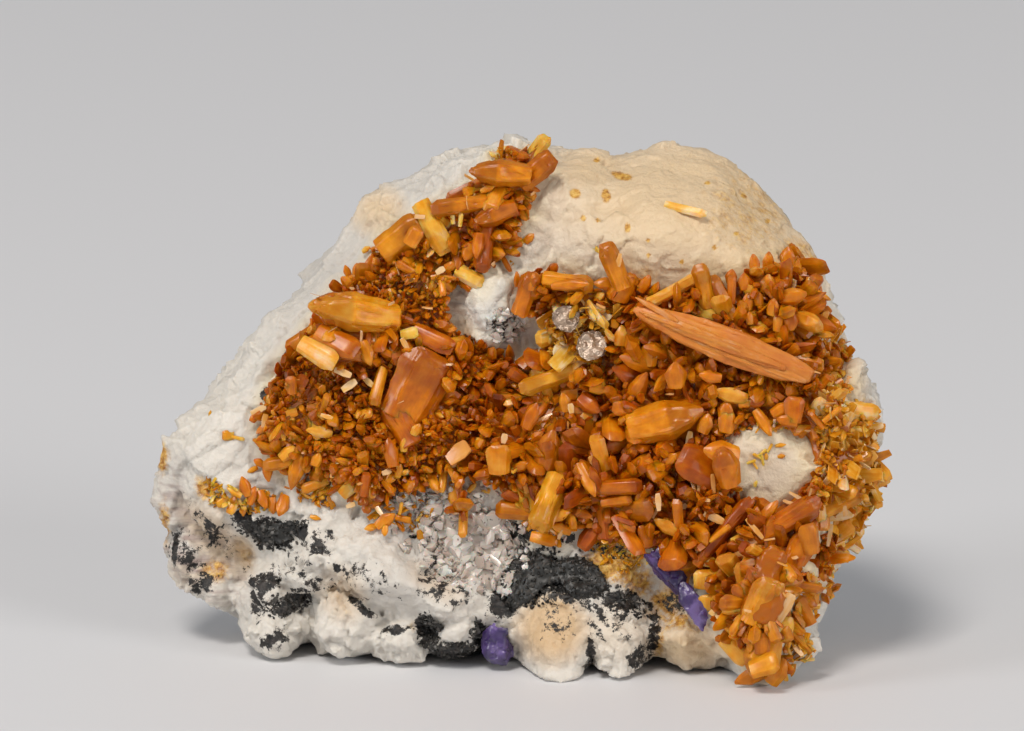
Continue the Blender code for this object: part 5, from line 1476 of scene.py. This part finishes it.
class SPECIMEN_OT_mica(bpy.types.Operator):
    """Makes the two books of mica from stacked, crumpled leaves."""

    bl_idname = "specimen.mica"
    bl_label = "Mica books"

    def execute(self, context):
        rng = Random(21)
        material = mica_material()
        for name in ("mica_book_lower", "mica_book_upper"):
            low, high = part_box(name)
            radius = (high[0] - low[0]) / MM / 2
            cluster = Cluster()
            for i in range(LEAVES):
                bm = bmesh.new()
                leaf = radius * rng.uniform(0.72, 1.0)
                bmesh.ops.create_circle(bm, cap_ends=True, segments=11, radius=leaf)
                for v in bm.verts:
                    v.co *= rng.uniform(0.88, 1.06)
                bmesh.ops.solidify(bm, geom=bm.faces[:], thickness=LEAF_THICKNESS)
                divided(bm, 0.3)
                seed = Vector((i * 3.7, 0, 0))
                for v in bm.verts:
                    waves, creases = noise.noise(v.co / 0.9 + seed), noise.noise(v.co / 0.35 + seed)
                    v.co.z += 0.26 * waves + 0.12 * creases
                tip = Matrix.Rotation(rng.uniform(-0.12, 0.12), 4, "X")
                tip = tip @ Matrix.Rotation(rng.uniform(-0.15, 0.15), 4, "Y")
                aside, along = rng.uniform(-0.2, 0.2), rng.uniform(-0.2, 0.2)
                drift = Vector((aside, along, i * LEAF_SPACING - 0.2))
                place = Matrix.Translation(middle_of(name) + drift)
                place = place @ Matrix.Rotation(BOOK_LEAN, 4, "X") @ tip
                cluster.add(shape_of(bm), place, (1, 1, 1), rng.uniform(0.2, 0.8), 0.0)
            cluster.piece(name + "_leaves", 30.0, material, "mica", [name])
        return {"FINISHED"}


def mica_material():
    """Mica split in leaves: silvery brown, with a pearly shine that breaks on its creases."""
    material, tree, surface = new_material("split mica", {
        "Roughness": 0.2,
        "IOR": 1.58,
        "Specular IOR Level": 1.0,
        "Metallic": 0.35,
    })
    place = node(tree, "TexCoord").outputs["Object"]
    growth = node(tree, "Attribute", attribute_name="growth").outputs["Color"]
    tone = node(tree, "SeparateColor", {0: growth}).outputs[1]
    # Creases of 0.6 mm.
    creases = node(tree, "TexNoise", {"Vector": place, "Scale": 1600.0, "Detail": 5.0}).outputs[0]
    mixed = node(tree, "Math", {0: tone, 1: creases}, operation="ADD").outputs[0]
    mixed = node(tree, "MapRange", {0: mixed, 1: 0.5, 2: 1.4}).outputs[0]
    stops = ((0.0, linear("#5E4632")), (0.5, linear("#A08872")), (1.0, linear("#CDBBA8")))
    base = node(tree, "ValToRGB", {0: mixed}, stops=stops).outputs[0]
    bump = node(tree, "Bump", {"Height": creases, "Strength": 0.8, "Distance": 0.0003})
    tree.links.new(base, surface.inputs["Base Color"])
    tree.links.new(bump.outputs[0], surface.inputs["Normal"])
    return material


# Patches of granular minerals: CAD node, material slot, grain size, spacing, how far the bed sinks.
PATCHES = (
    ("quartz_patch", "smoky_quartz", 1.5, 0.8, 0.6),
    ("quartz_grain", "smoky_quartz", 0.9, 0.7, 0.1),
    ("dark_grains_left", "dark_grains", 0.42, 0.27, 0.2),
    ("dark_grains_base", "dark_grains", 0.5, 0.32, 0.25),
    ("dark_grains_centre", "dark_grains", 0.4, 0.27, 0.3),
)

# Loose grains around the patches, in ovals: slot, across, up, half width, half height, turn, size,
# how many.
LOOSE_GRAINS = (
    ("smoky_quartz", -6.0, 16.6, 8.8, 5.4, -28, 1.2, 380),
    ("smoky_quartz", -11.0, 20.2, 4.0, 2.0, -20, 1.1, 60),
    ("smoky_quartz", -1.2, 22.8, 3.4, 2.2, 0, 1.1, 60),
    ("smoky_quartz", 4.0, 18.6, 3.6, 2.4, 0, 0.9, 70),
    ("smoky_quartz", -1.2, 40.0, 2.4, 2.4, 0, 1.3, 50),
    ("dark_grains", 1.0, 12.6, 4.8, 4.4, 0, 0.5, 420),
    ("dark_grains", -27.4, 17.0, 3.8, 2.2, -8, 0.45, 200),
    ("dark_grains", -25.4, 9.2, 3.2, 1.6, 20, 0.5, 130),
    ("dark_grains", -9.8, 6.0, 1.5, 2.6, 20, 0.5, 120),
    ("dark_grains", -7.0, 3.9, 3.6, 1.5, 0, 0.5, 170),
    ("dark_grains", -4.0, 5.6, 1.2, 2.2, 0, 0.5, 90),
    ("dark_grains", 11.6, 9.6, 4.0, 1.6, -20, 0.5, 150),
    ("dark_grains", 10.2, 15.8, 3.8, 1.6, 0, 0.5, 90),
)


# Step of the mesh under the grains of a patch, and of the apatite crystals, in metres.
PATCH_STEP = 0.28 * MM
APATITE_STEP = 0.18 * MM


class SPECIMEN_OT_patches(bpy.types.Operator):
    """Makes the granular quartz and the dark grains from their CAD patches, with loose grains."""

    bl_idname = "specimen.patches"
    bl_label = "Granular patches"

    def execute(self, context):
        rng = Random(8)
        shapes = []
        for _ in range(8):
            bm = bmesh.new()
            bmesh.ops.create_icosphere(bm, subdivisions=1, radius=0.5)
            for v in bm.verts:
                v.co *= rng.uniform(0.6, 1.3)
            shapes.append(shape_of(bm))
        materials = {"smoky_quartz": quartz_material(), "dark_grains": dark_material()}
        for name, slot, grain, spacing, sink in PATCHES:
            bm = merged_copy(name, PATCH_STEP)
            smoothed(bm, bm.verts[:], 3)
            bm.normal_update()
            for v in bm.verts:
                v.co += v.normal * (0.18 * noise.noise(v.co / 0.7) - 0.1) - Vector((0, 0, sink))
            cluster = Cluster()
            for point, normal in roots(bm, 4, evenly(spacing), -0.1):
                size = [grain * math.exp(rng.gauss(-0.12, 0.35)) for _ in range(3)]
                turned = Matrix.Rotation(rng.uniform(0, 6.28), 4, normal + Vector((0.1, 0.2, 0.3)))
                place = Matrix.Translation(point + normal * rng.uniform(-0.1, 0.15) * grain) @ turned
                cluster.add(rng.choice(shapes), place, size, rng.random(), rng.random())
            bed = from_bmesh(name + "_bed", bm)
            paint(bed, "growth", np.tile((0.5, 0.3, 0.3, 1.0), (len(bed.vertices), 1)))
            piece(name + "_bed", bed, materials[slot], [name])
            cluster.piece(name + "_grains", 30.0, materials[slot], slot)
        stone = Ground("feldspar")
        loose = {slot: Cluster() for slot in materials}
        for slot, *oval, grain, count in LOOSE_GRAINS:
            for point in strewn(rng, stone, *oval, count):
                size = [grain * math.exp(rng.gauss(-0.25, 0.42)) for _ in range(3)]
                turned = aimed(rng.uniform(0, 360), rng.uniform(-50, 50), 0)
                place = Matrix.Translation(point) @ turned
                loose[slot].add(rng.choice(shapes), place, size, rng.random(), rng.random())
        for slot, cluster in loose.items():
            cluster.piece(slot + "_loose", 30.0, materials[slot], slot)
        return {"FINISHED"}


def granular_material(name, values, clouding, stops, specks=None):
    """A material of grains with a tone each, and with clouds and specks that run through them all."""
    material, tree, surface = new_material(name, values)
    place = node(tree, "TexCoord").outputs["Object"]
    growth = node(tree, "Attribute", attribute_name="growth").outputs["Color"]
    tone = node(tree, "SeparateColor", {0: growth}).outputs[1]
    clouds = node(tree, "TexNoise", {"Vector": place, "Scale": clouding, "Detail": 4.0}).outputs[0]
    mixed = node(tree, "Math", {0: tone, 1: clouds}, operation="ADD").outputs[0]
    mixed = node(tree, "MapRange", {0: mixed, 1: 0.3, 2: 1.5}).outputs[0]
    stops = [(at, linear(colour)) for at, colour in stops]
    base = node(tree, "ValToRGB", {0: mixed}, stops=stops).outputs[0]
    if specks:
        # Specks of 0.7 mm.
        dark = node(tree, "TexNoise", {"Vector": place, "Scale": 1500.0, "Detail": 4.0}).outputs[0]
        dark = node(tree, "MapRange", {0: dark, 1: 0.6, 2: 0.68}).outputs[0]
        speck = (*linear(specks), 1)
        base = node(tree, "Mix", {0: dark, 6: base, 7: speck}, data_type="RGBA").outputs[2]
    tree.links.new(base, surface.inputs["Base Color"])
    return material


def quartz_material():
    """Granular quartz: greyish, glassy and cloudy, with smoky and white grains in it."""
    values = {
        "Roughness": 0.22,
        "IOR": 1.54,
        "Transmission Weight": 0.12,
        "Subsurface Weight": 0.3,
        "Subsurface Scale": 0.0006,
    }
    # Clouds of 2.4 mm.
    stops = ((0.0, "#8A7C70"), (0.25, "#BCAEA2"), (0.55, "#D4C9BE"), (1.0, "#E6DED6"))
    return granular_material("broken smoky quartz", values, 420.0, stops, "#5A4E46")


def dark_material():
    """Dark granular minerals: nearly black, felted and dull, with small glints."""
    # Clouds of 1.1 mm.
    stops = ((0.0, "#0C0D0D"), (0.5, "#22211E"), (1.0, "#524E49"))
    return granular_material("felted dark grains", {"Roughness": 0.42}, 900.0, stops)


# Apatite crystals: CAD node, stretch across, up and out, how far they are raised, and how often they
# are evened out.
APATITES = (
    ("apatite_bead", (1.06, 1.26, 1.0), 0.3, 5),
    ("apatite_tablet", (1.15, 1.8, 1.2), 2.0, 1),
    ("apatite_wedge", (1.35, 1.2, 1.2), 2.0, 1),
)


class SPECIMEN_OT_apatite(bpy.types.Operator):
    """Makes the purple apatite crystals from their CAD solids."""

    bl_idname = "specimen.apatite"
    bl_label = "Apatite"

    def execute(self, context):
        material = apatite_material(context)
        for name, stretch, rise, passes in APATITES:
            bm = merged_copy(name, APATITE_STEP)
            middle = middle_of(name)
            grown = Matrix.Diagonal((*stretch, 1.0))
            raised = Matrix.Translation(middle + Vector((0, 0, rise)))
            bm.transform(raised @ grown @ Matrix.Translation(-middle))
            smoothed(bm, bm.verts[:], passes)
            bm.normal_update()
            for v in bm.verts:
                v.co += v.normal * (0.06 * noise.noise(v.co / 0.5) + 0.5 * facet(v.co, 1.1, 9.0))
            mesh = from_bmesh(name + "_crystal", bm, 28.0)
            piece(name + "_crystal", mesh, material, [name])
        return {"FINISHED"}


def apatite_material(context):
    """Apatite: glassy, purple, a little cloudy and chipped."""
    material, tree, surface = new_material("purple apatite", {
        "Roughness": 0.28,
        "IOR": 1.63,
        "Subsurface Weight": 0.4,
        "Subsurface Radius": (0.7, 0.5, 1.0),
        "Subsurface Scale": 0.0008,
    })
    place = node(tree, "TexCoord").outputs["Object"]
    # Clouds of 2 mm, and chips of 0.6 mm.
    clouds = node(tree, "TexNoise", {"Vector": place, "Scale": 500.0, "Detail": 5.0}).outputs[0]
    chips = node(tree, "TexNoise", {"Vector": place, "Scale": 1800.0, "Detail": 4.0}).outputs[0]
    mixed = node(tree, "MapRange", {0: clouds, 1: 0.35, 2: 0.65}).outputs[0]
    purple = context.scene.specimen_colours.purple
    stops = ((0.0, linear("#2A1F48")), (0.55, purple), (1.0, linear("#75639A")))
    base = node(tree, "ValToRGB", {0: mixed}, stops=stops).outputs[0]
    bump = node(tree, "Bump", {"Height": chips, "Strength": 0.5, "Distance": 0.0002})
    tree.links.new(base, surface.inputs["Base Color"])
    tree.links.new(bump.outputs[0], surface.inputs["Normal"])
    return material


# The picture's middle in the faced view, its width there and how far away the camera stands.
FRAMED_MIDDLE = Vector((-0.55, 35.5, -8.0))
FRAMED_WIDTH = 112.64
CAMERA_DISTANCE = 900.0
# Width of the camera's sensor, and the nearest and furthest that it sees, in metres.
SENSOR_WIDTH = 36.0
SEEN = (0.05, 50.0)

# What the lights shine at in the faced view. Lights: name, place and size in metres, watts, colour.
LIT = Vector((0, 30, -8))
LIGHTS = (
    ("key", (-0.6, -1.4, 2.2), 0.7, 42.0, "#FFF8F0"),
    ("fill", (1.9, -1.6, 0.9), 1.2, 24.0, "#FFFCF8"),
    ("left", (-2.3, -1.1, 0.9), 0.8, 20.0, "#FFFFFF"),
)
WORLD_COLOUR = "#E8EAEE"
WORLD_STRENGTH = 0.3
FLOOR_RADIUS = 6.0


def aim(obj, place, target):
    """Puts an object at a place, looking at a target."""
    turn = (target - place).to_track_quat("-Z", "Y")
    obj.matrix_world = Matrix.Translation(place) @ turn.to_matrix().to_4x4()


class SPECIMEN_OT_stage(bpy.types.Operator):
    """Lays the floor, and sets the lights and the camera."""

    bl_idname = "specimen.stage"
    bl_label = "Floor, lights and camera"

    def execute(self, context):
        bm = bmesh.new()
        bmesh.ops.create_circle(bm, cap_ends=True, segments=64, radius=FLOOR_RADIUS)
        floor = linked("floor", kept_mesh("floor", bm))
        colour = (*context.scene.specimen_colours.floor, 1)
        paint_coat = new_material("pale matte paint", {"Base Color": colour, "Roughness": 0.6})[0]
        floor.data.materials.append(paint_coat)

        for name, place, size, power, colour in LIGHTS:
            light = bpy.data.lights.new(name, "AREA")
            light.size = size
            light.energy = power
            light.color = linear(colour)
            aim(linked(name, light), Vector(place), STAND @ LIT)

        world = bpy.data.worlds.new("pale studio")
        world.use_nodes = True
        background = world.node_tree.nodes["Background"]
        background.inputs["Color"].default_value = (*linear(WORLD_COLOUR), 1)
        background.inputs["Strength"].default_value = WORLD_STRENGTH
        context.scene.world = world

        camera = bpy.data.cameras.new("camera")
        camera.sensor_width = SENSOR_WIDTH
        camera.lens = SENSOR_WIDTH * CAMERA_DISTANCE / FRAMED_WIDTH
        camera.clip_start, camera.clip_end = SEEN
        obj = linked("camera", camera)
        aim(obj, STAND @ (FRAMED_MIDDLE + Vector((0, 0, CAMERA_DISTANCE))), STAND @ FRAMED_MIDDLE)
        context.scene.camera = obj
        context.scene.view_settings.view_transform = "Standard"
        return {"FINISHED"}


class SPECIMEN_PT_panel(bpy.types.Panel):
    """Lists the steps that make the specimen."""

    bl_label = "Eosphorite specimen"
    bl_idname = "SPECIMEN_PT_panel"
    bl_space_type = "VIEW_3D"
    bl_region_type = "UI"
    bl_category = "Eosphorite"

    def draw(self, context):
        column = self.layout.column()
        for name in SpecimenSizes.__annotations__:
            column.prop(context.scene.specimen_sizes, name)
        for name in SpecimenColours.__annotations__:
            column.prop(context.scene.specimen_colours, name)
        for operator in STEPS:
            column.operator(operator.bl_idname)


STEPS = (
    SPECIMEN_OT_stone,
    SPECIMEN_OT_druse,
    SPECIMEN_OT_large_crystals,
    SPECIMEN_OT_blade,
    SPECIMEN_OT_mica,
    SPECIMEN_OT_patches,
    SPECIMEN_OT_apatite,
    SPECIMEN_OT_stage,
)
CLASSES = (SpecimenSizes, SpecimenColours, *STEPS, SPECIMEN_PT_panel)


def register():
    for cls in CLASSES:
        bpy.utils.register_class(cls)
    bpy.types.Scene.specimen_sizes = PointerProperty(type=SpecimenSizes)
    bpy.types.Scene.specimen_colours = PointerProperty(type=SpecimenColours)


def unregister():
    del bpy.types.Scene.specimen_colours
    del bpy.types.Scene.specimen_sizes
    for cls in reversed(CLASSES):
        bpy.utils.unregister_class(cls)


def main():
    """Makes every piece in order."""
    register()
    noise.seed_set(NOISE_SEED)
    bpy.ops.specimen.stone()
    bpy.ops.specimen.druse()
    bpy.ops.specimen.large_crystals()
    bpy.ops.specimen.blade()
    bpy.ops.specimen.mica()
    bpy.ops.specimen.patches()
    bpy.ops.specimen.apatite()
    bpy.ops.specimen.stage()


if __name__ == "__main__":
    main()
